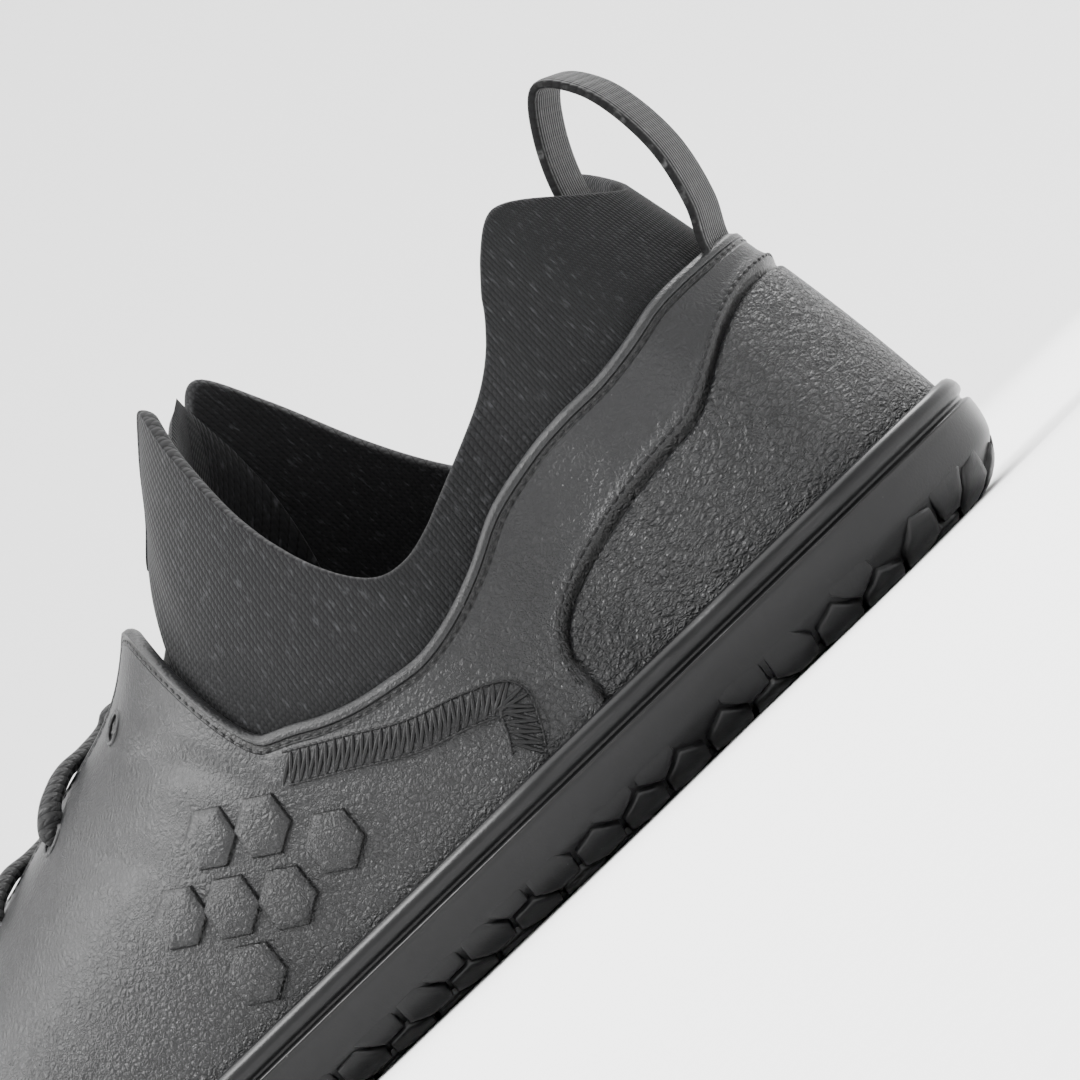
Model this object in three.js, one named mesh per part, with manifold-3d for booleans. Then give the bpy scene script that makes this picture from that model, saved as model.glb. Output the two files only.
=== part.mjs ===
// A left barefoot shoe of about EU 42. A thin cupped rubber outsole with a honeycomb tread holds
// a leather upper, with a counter let into its heel, a knitted collar and tongue, laces,
// a webbing pull loop and an insole.
// Millimetres, +Z up. The toe points to -Y and the little toe's side is +X.
// The origin lies on the floor, under the middle of the shoe's box.
//
// The last is worked out in three steps. A closed outline gives the sole's plan. A spine of sections
// gives the ridge over it. From each place on the outline a wall runs first round the sole's edge
// and then up, as a superellipse, to the nearest place on the spine.

import * as THREE from "three";
import { mergeVertices } from "three/addons/utils/BufferGeometryUtils.js";
import Module from "manifold-3d";

const wasm = await Module();
wasm.setup();

// Overall sizes of the last
const LENGTH = 285;
const BALL_WIDTH = 104;
const HEEL_WIDTH = 76;
const INSTEP_HEIGHT = 78;
const TOE_HEIGHT = 40;
const HEEL_HEIGHT = 50;
const TOE_SPRING = 13;

// Outsole
const SOLE_FLOOR = 4;
const SOLE_WALL = 2.2;
const EDGE_WIDTH = 16;
const EDGE_HEIGHT = 11.5;
const LIP_HEIGHT = 15.5;
const LIP_BEAD = 3.2;
const LIP_GROOVE = 1;
const ARCH_RISE = 1.6;

// Honeycomb tread
const HEX_PITCH = 7.8;
const GROOVE_DEPTH = 1.1;
const GROOVE_WIDTH = 1.5;
const TREAD_START = 80.3;
const TREAD_SIDE = 4.3;

// Upper, knit, insole and trim
const LEATHER = 2;
const KNIT = 2.4;
const INSOLE = 3;
const GAP = 0.3;
const KNIT_GAP = 0.8;
const THROAT_WIDTH = 28;
const COUNTER_HEIGHT = 34.5;
const COUNTER_REACH = 51.5;
const COUNTER_LEATHER = 0.6;
const COUNTER_SEAM = 0.9;
const COLLAR_OVERLAP = 8;
const TONGUE_WIDTH = 46;
const LACE = 4.2;
const LACE_SPREAD = 46;
const LACE_CLEAR = 1;
const EYELET = 4;
const WEBBING_WIDTH = 10.5;
const WEBBING = 1.4;
const LOOP_HEIGHT = 83;
const LOOP_SIDE = 4;
const LOOP_CLEAR = 3.4;
const UPPER_TURN = 0.4;
const INSOLE_TURN = 0.35;
const COUNTER_REAR = 9;
const COUNTER_END = 2;
const COUNTER_PROUD = 0.3;
const COUNTER_SQUARE = 3.2;
const COUNTER_REAR_END = 0.075;
const POCKET_DROP = 4;
const POCKET_REACH = 4;

// The ends of the spine, and the rows of lacing, as shares of the length from the heel
const HEEL_FOCUS = 0.126;
const THROAT_FRONT = 0.64;
const FOCUS_EASE = 0.045;
const COLLAR_FRONT = 0.365;
const TONGUE_TOP = 0.326;
const TONGUE_FRONT = 0.6;
const TONGUE_PAST_COLLAR = 0.38;
const LACE_ROWS = [0.414, 0.484, 0.554, 0.614];

// Sole outline, heel to toe. Widths are shares of a width that passes from the heel's to the ball's,
// and the rounding of the bottom edge is a share of EDGE_WIDTH.
const OUTLINE = [
  { at: 0.018, ball: 0.0, lateral: 0.234, medial: 0.192, edgeLateral: 0.58, edgeMedial: 0.58 },
  { at: 0.053, ball: 0.0, lateral: 0.389, medial: 0.368, edgeLateral: 0.58, edgeMedial: 0.56 },
  { at: 0.105, ball: 0.0, lateral: 0.464, medial: 0.487, edgeLateral: 0.62, edgeMedial: 0.5 },
  { at: 0.151, ball: 0.0, lateral: 0.494, medial: 0.515, edgeLateral: 0.69, edgeMedial: 0.5 },
  { at: 0.189, ball: 0.1, lateral: 0.565, medial: 0.49, edgeLateral: 0.81, edgeMedial: 0.5 },
  { at: 0.225, ball: 0.25, lateral: 0.6, medial: 0.445, edgeLateral: 0.94, edgeMedial: 0.5 },
  { at: 0.27, ball: 0.4, lateral: 0.594, medial: 0.39, edgeLateral: 1.0, edgeMedial: 0.5 },
  { at: 0.34, ball: 0.55, lateral: 0.575, medial: 0.334, edgeLateral: 1.0, edgeMedial: 0.5 },
  { at: 0.414, ball: 0.7, lateral: 0.562, medial: 0.299, edgeLateral: 0.94, edgeMedial: 0.5 },
  { at: 0.484, ball: 0.8, lateral: 0.567, medial: 0.295, edgeLateral: 0.94, edgeMedial: 0.5 },
  { at: 0.568, ball: 0.9, lateral: 0.573, medial: 0.332, edgeLateral: 0.88, edgeMedial: 0.56 },
  { at: 0.66, ball: 1.0, lateral: 0.563, medial: 0.401, edgeLateral: 0.81, edgeMedial: 0.62 },
  { at: 0.737, ball: 1.0, lateral: 0.546, medial: 0.45, edgeLateral: 0.75, edgeMedial: 0.62 },
  { at: 0.814, ball: 1.0, lateral: 0.486, medial: 0.462, edgeLateral: 0.75, edgeMedial: 0.62 },
  { at: 0.884, ball: 1.0, lateral: 0.38, medial: 0.442, edgeLateral: 0.69, edgeMedial: 0.62 },
  { at: 0.94, ball: 1.0, lateral: 0.24, medial: 0.38, edgeLateral: 0.62, edgeMedial: 0.62 },
  { at: 0.979, ball: 1.0, lateral: 0.087, medial: 0.279, edgeLateral: 0.62, edgeMedial: 0.62 },
];
const HEEL_TIP_SIDE = 0.04;
const TOE_TIP_SIDE = -0.106;

// Spine, heel to toe. side is a share of BALL_WIDTH, height of a height that passes from the
// instep's to the toe's, and square is the superellipse's power. Behind the tongue the ridge
// is only the place that the collar's walls lean towards.
const SPINE = [
  { at: 0.126, side: 0.025, toe: 0.0, height: 1.69, square: 1.4 },
  { at: 0.21, side: 0.015, toe: 0.0, height: 1.6, square: 1.45 },
  { at: 0.28, side: -0.005, toe: 0.0, height: 1.44, square: 1.55 },
  { at: 0.35, side: 0.01, toe: 0.0, height: 1.13, square: 1.75 },
  { at: 0.414, side: 0.03, toe: 0.0, height: 0.9, square: 1.95 },
  { at: 0.484, side: 0.035, toe: 0.0, height: 0.815, square: 2.0 },
  { at: 0.554, side: 0.02, toe: 0.0, height: 0.75, square: 2.05 },
  { at: 0.639, side: -0.02, toe: 0.3, height: 0.815, square: 2.2 },
  { at: 0.72, side: -0.05, toe: 0.6, height: 0.9, square: 2.3 },
  { at: 0.8, side: -0.05, toe: 0.85, height: 0.97, square: 2.4 },
  { at: 0.877, side: -0.05, toe: 1.0, height: 1.0, square: 2.4 },
  { at: 1.0, side: -0.05, toe: 1.0, height: 0.95, square: 2.4 },
];

// Heights of the leather's and the knit's edges round the ankle, as shares of HEEL_HEIGHT
const TOPLINE = [
  { at: 0.0, leather: 1.0, collar: 1.3 },
  { at: 0.035, leather: 0.99, collar: 1.46 },
  { at: 0.06, leather: 0.96, collar: 1.49 },
  { at: 0.088, leather: 0.94, collar: 1.42 },
  { at: 0.115, leather: 0.94, collar: 1.28 },
  { at: 0.14, leather: 0.93, collar: 1.16 },
  { at: 0.165, leather: 0.89, collar: 1.06 },
  { at: 0.185, leather: 0.82, collar: 1.0 },
  { at: 0.208, leather: 0.76, collar: 0.96 },
  { at: 0.232, leather: 0.735, collar: 1.0 },
  { at: 0.255, leather: 0.75, collar: 1.15 },
  { at: 0.276, leather: 0.775, collar: 1.4 },
  { at: 0.294, leather: 0.81, collar: 1.69 },
  { at: 0.309, leather: 0.85, collar: 1.88 },
  { at: 0.33, leather: 0.9, collar: 1.8 },
  { at: 0.352, leather: 0.98, collar: 1.65 },
  { at: 0.374, leather: 1.1, collar: 1.48 },
];
// How far the leather swells over the arch's side of the waist, and from what share of its height
const WAIST_SWELL = 5;
const SWELL_START = 0.09;

const EYESTAY_START = 0.325;
const EYESTAY_END = 0.4;
const EYESTAY_COLUMNS = [0.337, 0.362, 0.387];

// Raised band on the little toe's side, from the throat down to the lip, as shares of the length
// and of HEEL_HEIGHT, and the raised honeycomb cells in front of it
const BAND = [
  { at: 0.325, height: 0.79 },
  { at: 0.293, height: 0.7 },
  { at: 0.258, height: 0.6 },
  { at: 0.23, height: 0.55 },
  { at: 0.212, height: 0.5 },
  { at: 0.214, height: 0.42 },
  { at: 0.221, height: 0.345 },
];
const BAND_WIDTH = 4.6;
const BAND_RAISE = 0.4;
const CELLS = [
  { at: 0.326, height: 0.55 },
  { at: 0.352, height: 0.72 },
  { at: 0.364, height: 0.53 },
  { at: 0.38, height: 0.8 },
  { at: 0.391, height: 0.62 },
  { at: 0.402, height: 0.44 },
  { at: 0.418, height: 0.7 },
];
// Route of the pull loop's middle line, up from the leather's edge and down inside the collar.
// inward is in millimetres from the leather's edge, or from the collar's lining, and up is a share
// of the height from the leather's edge to the loop's top.
const LOOP = [
  { inner: false, inward: 0.8, up: 0.025 },
  { inner: false, inward: -2, up: 0.2 },
  { inner: false, inward: -4, up: 0.5 },
  { inner: false, inward: -2.2, up: 0.85 },
  { inner: false, inward: 2, up: 1.0 },
  { inner: true, inward: -3.6, up: 0.85 },
  { inner: true, inward: 0.8, up: 0.5 },
  { inner: true, inward: 0.3, up: 0.2 },
  { inner: true, inward: 0.3, up: -0.11 },
];

const CELL_SIZE = 8;
const CELL_BEVEL = 0.7;
const CELL_RAISE = 0.6;

// Mesh fineness
const AROUND = 64;
const COLLAR_STEPS = 36;
const COUNTER_STEPS = 18;
const BAND_STEPS = 14;
const LOOP_STEPS = 24;
const LACE_STEPS = 5;
const CORD_SIDES = 2;

const LATERAL = 1;
const MEDIAL = -1;
const STEP = 1e-3;
const CELL_INSET = 0.9;
const PLAN_BEND = 1e-5;

const colours = {
  rubber: { color: 0x1c1d1f, roughness: 0.5, metalness: 0 },
  leather: { color: 0x38393b, roughness: 0.55, metalness: 0 },
  pebbled: { color: 0x333436, roughness: 0.6, metalness: 0 },
  knit: { color: 0x1e1f21, roughness: 0.95, metalness: 0 },
  cord: { color: 0x17181a, roughness: 0.9, metalness: 0 },
  webbing: { color: 0x141517, roughness: 0.85, metalness: 0 },
  footbed: { color: 0x2a2b2d, roughness: 0.95, metalness: 0 },
};

const mix = (a, b, t) => a + (b - a) * t;
const clamp = (x, low, high) => Math.min(Math.max(x, low), high);

function ease(low, high, x) {
  const t = clamp((x - low) / (high - low), 0, 1);
  return t * t * (3 - 2 * t);
}

// Reads one column of a table at a share of the length, along a smooth curve through its rows
function read(rows, key, at) {
  const last = rows.length - 1;
  const x = clamp(at, rows[0].at, rows[last].at);
  const i = clamp(rows.findIndex((row) => row.at >= x), 1, last);
  const slope = (a, b) => (rows[b][key] - rows[a][key]) / (rows[b].at - rows[a].at);
  const span = rows[i].at - rows[i - 1].at;
  const t = (x - rows[i - 1].at) / span;
  const start = slope(Math.max(i - 2, 0), i) * span;
  const end = slope(i - 1, Math.min(i + 1, last)) * span;
  const a = rows[i - 1][key];
  const b = rows[i][key];
  return a + t * (start + t * (3 * (b - a) - 2 * start - end + t * (start + end - 2 * (b - a))));
}

// The outline starts at the heel tip and runs by the little toe's side to the toe and back.
// Its points hold x and the distance from the heel.
function outlineCurve() {
  const width = (row) => mix(HEEL_WIDTH, BALL_WIDTH, row.ball);
  const lateral = OUTLINE.map((row) => new THREE.Vector3(row.lateral * width(row), row.at * LENGTH, 0));
  const medial = OUTLINE.map((row) => new THREE.Vector3(-row.medial * width(row), row.at * LENGTH, 0));
  const heel = new THREE.Vector3(HEEL_TIP_SIDE * HEEL_WIDTH, 0, 0);
  const toe = new THREE.Vector3(TOE_TIP_SIDE * BALL_WIDTH, LENGTH, 0);
  const curve = new THREE.CatmullRomCurve3([heel, ...lateral, toe, ...medial.reverse()], true);
  curve.arcLengthDivisions = 3000;
  return curve;
}

const outline = outlineCurve();

// One place on the outline, with its inward direction and the width of its rounded bottom edge
function foot(u) {
  const share = u - Math.floor(u);
  const point = outline.getPointAt(share);
  const tangent = outline.getTangentAt(share);
  const column = share < 0.5 ? "edgeLateral" : "edgeMedial";
  const edge = EDGE_WIDTH * read(OUTLINE, column, point.y / LENGTH);
  return { x: point.x, s: point.y, nx: -tangent.y, ns: tangent.x, edge };
}

// The place on the outline at a distance from the heel, on one side
function outlineAt(s, side) {
  let low = 0;
  let high = 0.5;
  for (let i = 0; i < 30; i += 1) {
    const middle = (low + high) / 2;
    const beyond = outline.getPointAt(side === LATERAL ? middle : 1 - middle).y > s;
    high = beyond ? middle : high;
    low = beyond ? low : middle;
  }
  return side * low;
}

// Toe spring bends the whole shoe, and the arch lifts the sole's under side alone
function rise(s) {
  return TOE_SPRING * Math.max(s / LENGTH - 0.73, 0) ** 2 / 0.27 ** 2;
}

function archLift(x, s) {
  const along = ease(0.27, 0.4, s / LENGTH) * (1 - ease(0.48, 0.62, s / LENGTH));
  return ARCH_RISE * along * ease(0.04, 0.22, -x / BALL_WIDTH);
}

function spineAt(s) {
  const at = s / LENGTH;
  const ridge = mix(INSTEP_HEIGHT, TOE_HEIGHT, read(SPINE, "toe", at));
  return {
    x: BALL_WIDTH * read(SPINE, "side", at),
    height: ridge * read(SPINE, "height", at),
    square: read(SPINE, "square", at),
  };
}

// Holds a value between the two ends of the spine, with a soft bend at each
function towardsSpine(s) {
  const soft = FOCUS_EASE * LENGTH;
  const low = HEEL_FOCUS * LENGTH;
  const high = THROAT_FRONT * LENGTH;
  if (Math.abs(s - low) < soft) return s + (low + soft - s) ** 2 / (4 * soft);
  if (Math.abs(s - high) < soft) return s - (s - high + soft) ** 2 / (4 * soft);
  return clamp(s, low, high);
}

// A point of the sole's side. turn goes from 0 under the sole to 1 where the side is upright.
// wall and floor are how far the point lies inside the rubber's outer skin.
function sidePoint(place, turn, wall, floor) {
  const angle = turn * Math.PI / 2;
  const inset = place.edge * (1 - Math.sin(angle)) + wall * Math.sin(angle);
  const x = place.x + place.nx * inset;
  const s = place.s + place.ns * inset;
  const z = EDGE_HEIGHT * (1 - Math.cos(angle)) + floor * Math.cos(angle) + rise(s);
  return new THREE.Vector3(x, -s, z);
}

// Over the arch the leather stands out past the sole, on the big toe's side alone
function waistSwell(u, s, share) {
  const along = ease(0.22, 0.46, s / LENGTH) * (1 - ease(0.48, 0.7, s / LENGTH));
  const above = clamp((share - SWELL_START) / (1 - SWELL_START), 0, 1);
  return u - Math.floor(u) > 0.5 ? WAIST_SWELL * along * Math.sin(above * Math.PI) ** 2 : 0;
}

// A point of the leather's outer face above the sole's edge, at a share of the ridge's height
function wallPoint(u, share) {
  const place = foot(u);
  const inset = SOLE_WALL + GAP - waistSwell(u, place.s, share);
  const x = place.x + place.nx * inset;
  const s = place.s + place.ns * inset;
  const target = towardsSpine(s);
  const spine = spineAt(target);
  const inward = 1 - (1 - clamp(share, 0, 1) ** spine.square) ** (1 / spine.square);
  const along = mix(s, target, inward);
  const z = mix(EDGE_HEIGHT, spineAt(along).height, share) + rise(along);
  return new THREE.Vector3(mix(x, spine.x, inward), -along, z);
}

// The outward direction of the leather's face
function wallNormal(u, share) {
  const below = clamp(share - STEP, 0, 1);
  const above = clamp(share + STEP, 0, 1);
  const up = wallPoint(u, above).sub(wallPoint(u, below));
  const along = wallPoint(u + STEP, share).sub(wallPoint(u - STEP, share));
  return up.cross(along).normalize();
}

// A point of the upper's skin. level runs from 0 under the foot to 1 at the sole's edge height
// and on to 2 at the ridge. depth is measured inward from the leather's outer face.
function skin(u, level, depth) {
  if (level < 1) {
    return sidePoint(foot(u), level, SOLE_WALL + GAP + depth, SOLE_FLOOR + GAP + depth);
  }
  return wallPoint(u, level - 1).addScaledVector(wallNormal(u, level - 1), -depth);
}

// The level at which the leather's face reaches a height
function levelAt(u, height) {
  let low = 0;
  let high = 0.98;
  for (let i = 0; i < 24; i += 1) {
    const middle = (low + high) / 2;
    const beyond = wallPoint(u, middle).z > height;
    high = beyond ? middle : high;
    low = beyond ? low : middle;
  }
  return 1 + low;
}

// The level at which the leather stops beside or before the throat
function throatLevel(u) {
  const place = foot(u);
  const target = towardsSpine(place.s);
  const spine = spineAt(target);
  const reach = Math.hypot(place.x - spine.x, place.s - target) - SOLE_WALL - GAP;
  const left = clamp(THROAT_WIDTH / 2 / reach, 0, 1);
  return 1 + (1 - left ** spine.square) ** (1 / spine.square);
}

function leatherTop(u) {
  const at = foot(u).s / LENGTH;
  const share = ease(EYESTAY_START, EYESTAY_END, at);
  const collar = share < 1 ? levelAt(u, HEEL_HEIGHT * read(TOPLINE, "leather", at)) : 0;
  const throat = share > 0 ? throatLevel(u) : 0;
  return mix(collar, throat, share);
}

function collarTop(u) {
  return levelAt(u, HEEL_HEIGHT * read(TOPLINE, "collar", foot(u).s / LENGTH));
}

// A point over the foot's ridge, a distance to one side of it, with the outward direction there
function overRidge(s, aside) {
  const side = aside < 0 ? MEDIAL : LATERAL;
  const u = outlineAt(s, side);
  const place = foot(u);
  const spine = spineAt(s);
  const reach = Math.abs(place.x + place.nx * (SOLE_WALL + GAP) - spine.x);
  const left = clamp(Math.abs(aside) / reach, 0, 1);
  const share = Math.min((1 - left ** spine.square) ** (1 / spine.square), 1 - 2 * STEP);
  return { u, share, point: wallPoint(u, share), normal: wallNormal(u, share) };
}

function geometryOf(positions, triangles) {
  const geometry = new THREE.BufferGeometry();
  geometry.setAttribute("position", new THREE.BufferAttribute(new Float32Array(positions), 3));
  geometry.setIndex(triangles);
  return geometry;
}

// A closed solid between an outer and an inner grid of points. The first index runs the same way
// as the outline, the second upward. A ring's first index closes on itself.
function shell(outer, inner, ring) {
  const columns = outer.length;
  const rows = outer[0].length;
  const positions = [...outer.flat(), ...inner.flat()].flatMap((p) => [p.x, p.y, p.z]);
  const at = (side, i, j) => (side * columns + (i % columns)) * rows + j;
  const triangles = [];
  const quad = (a, b, c, d) => triangles.push(a, b, c, a, c, d);
  const spans = ring ? columns : columns - 1;
  for (let i = 0; i < spans; i += 1) {
    for (let j = 0; j < rows - 1; j += 1) {
      quad(at(0, i, j), at(0, i, j + 1), at(0, i + 1, j + 1), at(0, i + 1, j));
      quad(at(1, i, j), at(1, i + 1, j), at(1, i + 1, j + 1), at(1, i, j + 1));
    }
    quad(at(0, i, 0), at(0, i + 1, 0), at(1, i + 1, 0), at(1, i, 0));
    quad(at(0, i, rows - 1), at(1, i, rows - 1), at(1, i + 1, rows - 1), at(0, i + 1, rows - 1));
  }
  for (let j = 0; j < (ring ? 0 : rows - 1); j += 1) {
    const end = columns - 1;
    quad(at(0, 0, j), at(1, 0, j), at(1, 0, j + 1), at(0, 0, j + 1));
    quad(at(0, end, j), at(0, end, j + 1), at(1, end, j + 1), at(1, end, j));
  }
  return geometryOf(positions, triangles);
}

// A skin from rings of points, first ring to last, open at both ends
function ringSkin(list) {
  const count = list[0].length;
  const triangles = [];
  const last = (list.length - 1) * count;
  for (let i = 0; i < count; i += 1) {
    const next = (i + 1) % count;
    for (let a = 0; a < last; a += count) {
      const b = a + count;
      triangles.push(a + i, b + i, b + next, a + i, b + next, a + next);
    }
  }
  return { points: list.flat(), triangles, count, last };
}

// A strip across a ring that joins its two sides
function strip(first, count, up) {
  const triangles = [];
  const add = (a, b, c) => triangles.push(first + a, first + (up ? b : c), first + (up ? c : b));
  for (let i = 0; i < count / 2; i += 1) {
    const left = (count - i) % count;
    const after = count - i - 1;
    if (left !== i) add(i, left, i + 1);
    if (after !== i + 1) add(i + 1, left, after);
  }
  return triangles;
}

// A closed solid from rings of points, with a strip over each end
function rings(list) {
  const { points, triangles, count, last } = ringSkin(list);
  triangles.push(...strip(0, count, false), ...strip(last, count, true));
  return geometryOf(points.flatMap((p) => [p.x, p.y, p.z]), triangles);
}

function toSolid(geometry) {
  const vertProperties = new Float32Array(geometry.attributes.position.array);
  const triVerts = new Uint32Array(geometry.index.array);
  return new wasm.Manifold(new wasm.Mesh({ numProp: 3, vertProperties, triVerts }));
}

function toGeometry(solid) {
  const mesh = solid.getMesh();
  return geometryOf(mesh.vertProperties, Array.from(mesh.triVerts));
}

function around(count) {
  return Array.from({ length: count }, (_, i) => i / count);
}

function spread(low, high, count) {
  return Array.from({ length: count + 1 }, (_, i) => mix(low, high, i / count));
}

// A ring round the shoe at an inset from the outline
function ringAt(places, inset, height) {
  return places.map((place) => {
    const s = place.s + place.ns * inset;
    return new THREE.Vector3(place.x + place.nx * inset, -s, height + rise(s));
  });
}

// A ring over the flat of the sole. inward runs from 0 at an inset from the outline to 1 at the spine.
function flatRing(places, insetAt, inward, heightAt) {
  return places.map((place) => {
    const edgeX = place.x + place.nx * insetAt(place);
    const edgeS = place.s + place.ns * insetAt(place);
    const target = clamp(edgeS, HEEL_FOCUS * LENGTH, (1 - HEEL_FOCUS) * LENGTH);
    const x = mix(edgeX, spineAt(target).x, inward);
    const s = mix(edgeS, target, inward);
    return new THREE.Vector3(x, -s, heightAt(x, s));
  });
}

// The smooth field under the arch has no cells
function inArch(x, s) {
  const along = (s / LENGTH - 0.438) / 0.175;
  const reach = Math.sqrt(Math.max(1 - along ** 2, 0));
  return Math.abs(along) < 1 && x / BALL_WIDTH < mix(-0.27, -0.06, reach);
}

// The sole's outer skin over a place in its plan: its height, and the place's share of the
// rounded edge, which is 0 at the outline and 1 where the flat begins
function underSkin(places, x, s) {
  const away = (place) => (x - place.x) ** 2 + (s - place.s) ** 2;
  const place = places.reduce((best, other) => (away(other) < away(best) ? other : best));
  const inset = ((x - place.x) * place.nx + (s - place.s) * place.ns) / place.edge;
  const round = EDGE_HEIGHT * (1 - Math.sqrt(1 - clamp(1 - inset, 0, 1) ** 2));
  return { z: round + rise(s) + archLift(x, s) * clamp(inset, 0, 1), inset };
}

// The corners of a cell, from its middle and radius
function hexagon(x, s, radius) {
  return [0.5, 1.5, 2.5, 3.5, 4.5, 5.5].map((k) => {
    const angle = k * Math.PI / 3;
    return new THREE.Vector2(x + radius * Math.cos(angle), s + radius * Math.sin(angle));
  });
}

// The middles of the honeycomb's cells, in rows across the shoe
function cellMiddles(places) {
  const rowPitch = HEX_PITCH * Math.sqrt(3) / 2;
  const fits = (x, s) => hexagon(x, s, HEX_PITCH / Math.sqrt(3))
    .every((corner) => underSkin(places, corner.x, corner.y).inset > CELL_INSET);
  const middles = [];
  for (let row = -Math.ceil(TREAD_START / rowPitch); row * rowPitch < LENGTH - TREAD_START; row += 1) {
    const s = TREAD_START + row * rowPitch;
    const shift = row % 2 === 0 ? 0 : HEX_PITCH / 2;
    const half = Math.ceil(BALL_WIDTH / 2 / HEX_PITCH);
    for (let column = -half - 1; column <= half; column += 1) {
      const x = TREAD_SIDE + shift + column * HEX_PITCH;
      if (!inArch(x, s) && fits(x, s)) middles.push({ x, s });
    }
  }
  return middles;
}

// The honeycomb: a flat six-sided top for each cell, and walls that slope down into the grooves
// between cells. Round the field's edge the grooves run out to the sole's skin.
function honeycomb(places) {
  const radius = HEX_PITCH / Math.sqrt(3);
  const points = [];
  const shared = new Map();
  const vertex = ({ x, y: s }) => {
    const key = `${Math.round(x * 20)} ${Math.round(s * 20)}`;
    if (!shared.has(key)) {
      shared.set(key, points.length);
      points.push(new THREE.Vector3(x, -s, underSkin(places, x, s).z));
    }
    return shared.get(key);
  };
  const triangles = [];
  const open = new Map();
  const cellsRound = new Map();
  cellMiddles(places).forEach(({ x, s }) => {
    const top = hexagon(x, s, radius - GROOVE_WIDTH / Math.sqrt(3)).map(vertex);
    const base = hexagon(x, s, radius).map(vertex);
    triangles.push(...[1, 2, 3, 4].flatMap((k) => [top[0], top[k], top[k + 1]]));
    base.forEach((corner, k) => {
      const next = (k + 1) % 6;
      triangles.push(corner, base[next], top[next], corner, top[next], top[k]);
      cellsRound.set(corner, (cellsRound.get(corner) ?? 0) + 1);
      if (!open.delete(`${base[next]} ${corner}`)) open.set(`${corner} ${base[next]}`, [corner, base[next]]);
    });
  });
  cellsRound.forEach((cells, corner) => {
    points[corner].z += cells === 3 ? GROOVE_DEPTH : 0;
  });
  const following = new Map(open.values());
  const border = [open.values().next().value[0]];
  while (border.length < following.size) border.push(following.get(border[border.length - 1]));
  return { points, triangles, border };
}

// Outsole: the honeycomb and the plain rubber round it, the rounded edge, the groove under the lip,
// the lip, and the cup inside it
function outsole() {
  const places = around(AROUND).map(foot);
  const fine = around(AROUND * 6).map(foot);
  const edge = (place) => place.edge;
  const bead = LIP_HEIGHT - LIP_BEAD;
  const outside = (turn) => places.map((place) => {
    const point = sidePoint(place, turn, 0, 0);
    point.z = turn < 1 ? underSkin(fine, point.x, -point.y).z : point.z;
    return point;
  });
  const inside = (turn) => places.map((place) => sidePoint(place, turn, SOLE_WALL, SOLE_FLOOR));
  const { points, triangles, count, last } = ringSkin([
    ...[0.4, 0.6, 0.8, 1].map(outside),
    ringAt(places, 0, bead - LIP_GROOVE),
    ringAt(places, LIP_GROOVE, bead - LIP_GROOVE / 2),
    ringAt(places, 0, bead + LIP_GROOVE / 2),
    ringAt(places, 0, LIP_HEIGHT - LIP_GROOVE),
    ringAt(places, LIP_GROOVE, LIP_HEIGHT),
    ringAt(places, SOLE_WALL, LIP_HEIGHT),
    ...[1, 0.7, UPPER_TURN, UPPER_TURN / 2, 0].map(inside),
    flatRing(places, edge, 0.5, (x, s) => SOLE_FLOOR + rise(s)),
  ]);
  triangles.push(...strip(last, count, true));
  const tread = honeycomb(fine);
  const rim = points.slice(0, count);
  const hole = tread.border.map((index) => tread.points[index]);
  // The plan is bent a little, because the triangulation drops points that lie in a straight line
  const flat = (list) => list.map((p) => new THREE.Vector2(p.x + PLAN_BEND * p.y ** 2, p.y + PLAN_BEND * p.x ** 2));
  const names = [...rim.keys(), ...tread.border.map((index) => index + points.length)];
  const between = THREE.ShapeUtils.triangulateShape(flat(rim), [flat(hole)]);
  triangles.push(...tread.triangles.map((index) => index + points.length));
  triangles.push(...between.flatMap(([a, b, c]) => [names[a], names[c], names[b]]));
  return geometryOf([...points, ...tread.points].flatMap((p) => [p.x, p.y, p.z]), triangles);
}

// Insole: a footbed whose edge turns up a little, as far as the turned-in edge of the upper
function insole() {
  const places = around(AROUND).map(foot);
  const ring = (turn, raise) => places.map((place) => {
    return sidePoint(place, turn, SOLE_WALL + GAP + raise, SOLE_FLOOR + GAP + raise);
  });
  return rings([
    ring(0, 0),
    ring(UPPER_TURN / 2, 0),
    ring(INSOLE_TURN, 0),
    ring(INSOLE_TURN, INSOLE),
    ring(0, INSOLE),
  ]);
}

// A closed slab over part of the upper. pathAt gives a place and level on the leather's face for
// each column and row, and the two depths are measured inward from that face.
function slab(columns, rows, ring, pathAt, outerDepth, innerDepth) {
  const grid = (depth) => columns.map((column) => rows.map((row) => {
    const [u, level] = pathAt(column, row);
    return skin(u, level, depth);
  }));
  return shell(grid(outerDepth), grid(innerDepth), ring);
}

// The leather shell, from its edge turned in under the foot up to the collar and throat
function leatherShell() {
  const rows = [...spread(UPPER_TURN, 1, 2), ...spread(1, 2, 6).slice(1)];
  const extra = EYESTAY_COLUMNS.flatMap((at) => {
    return [outlineAt(at * LENGTH, LATERAL), 1 + outlineAt(at * LENGTH, MEDIAL)];
  });
  const columns = [...around(AROUND), ...extra].sort((a, b) => a - b);
  return slab(columns, rows, true, (u, row) => {
    if (row <= 1) return [u, row];
    const top = leatherTop(u) - 1;
    const turn = Math.sin((row - 1) * Math.asin(top));
    return [u, 1 + mix((row - 1) * top, turn, 0.6)];
  }, 0, LEATHER);
}

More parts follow.
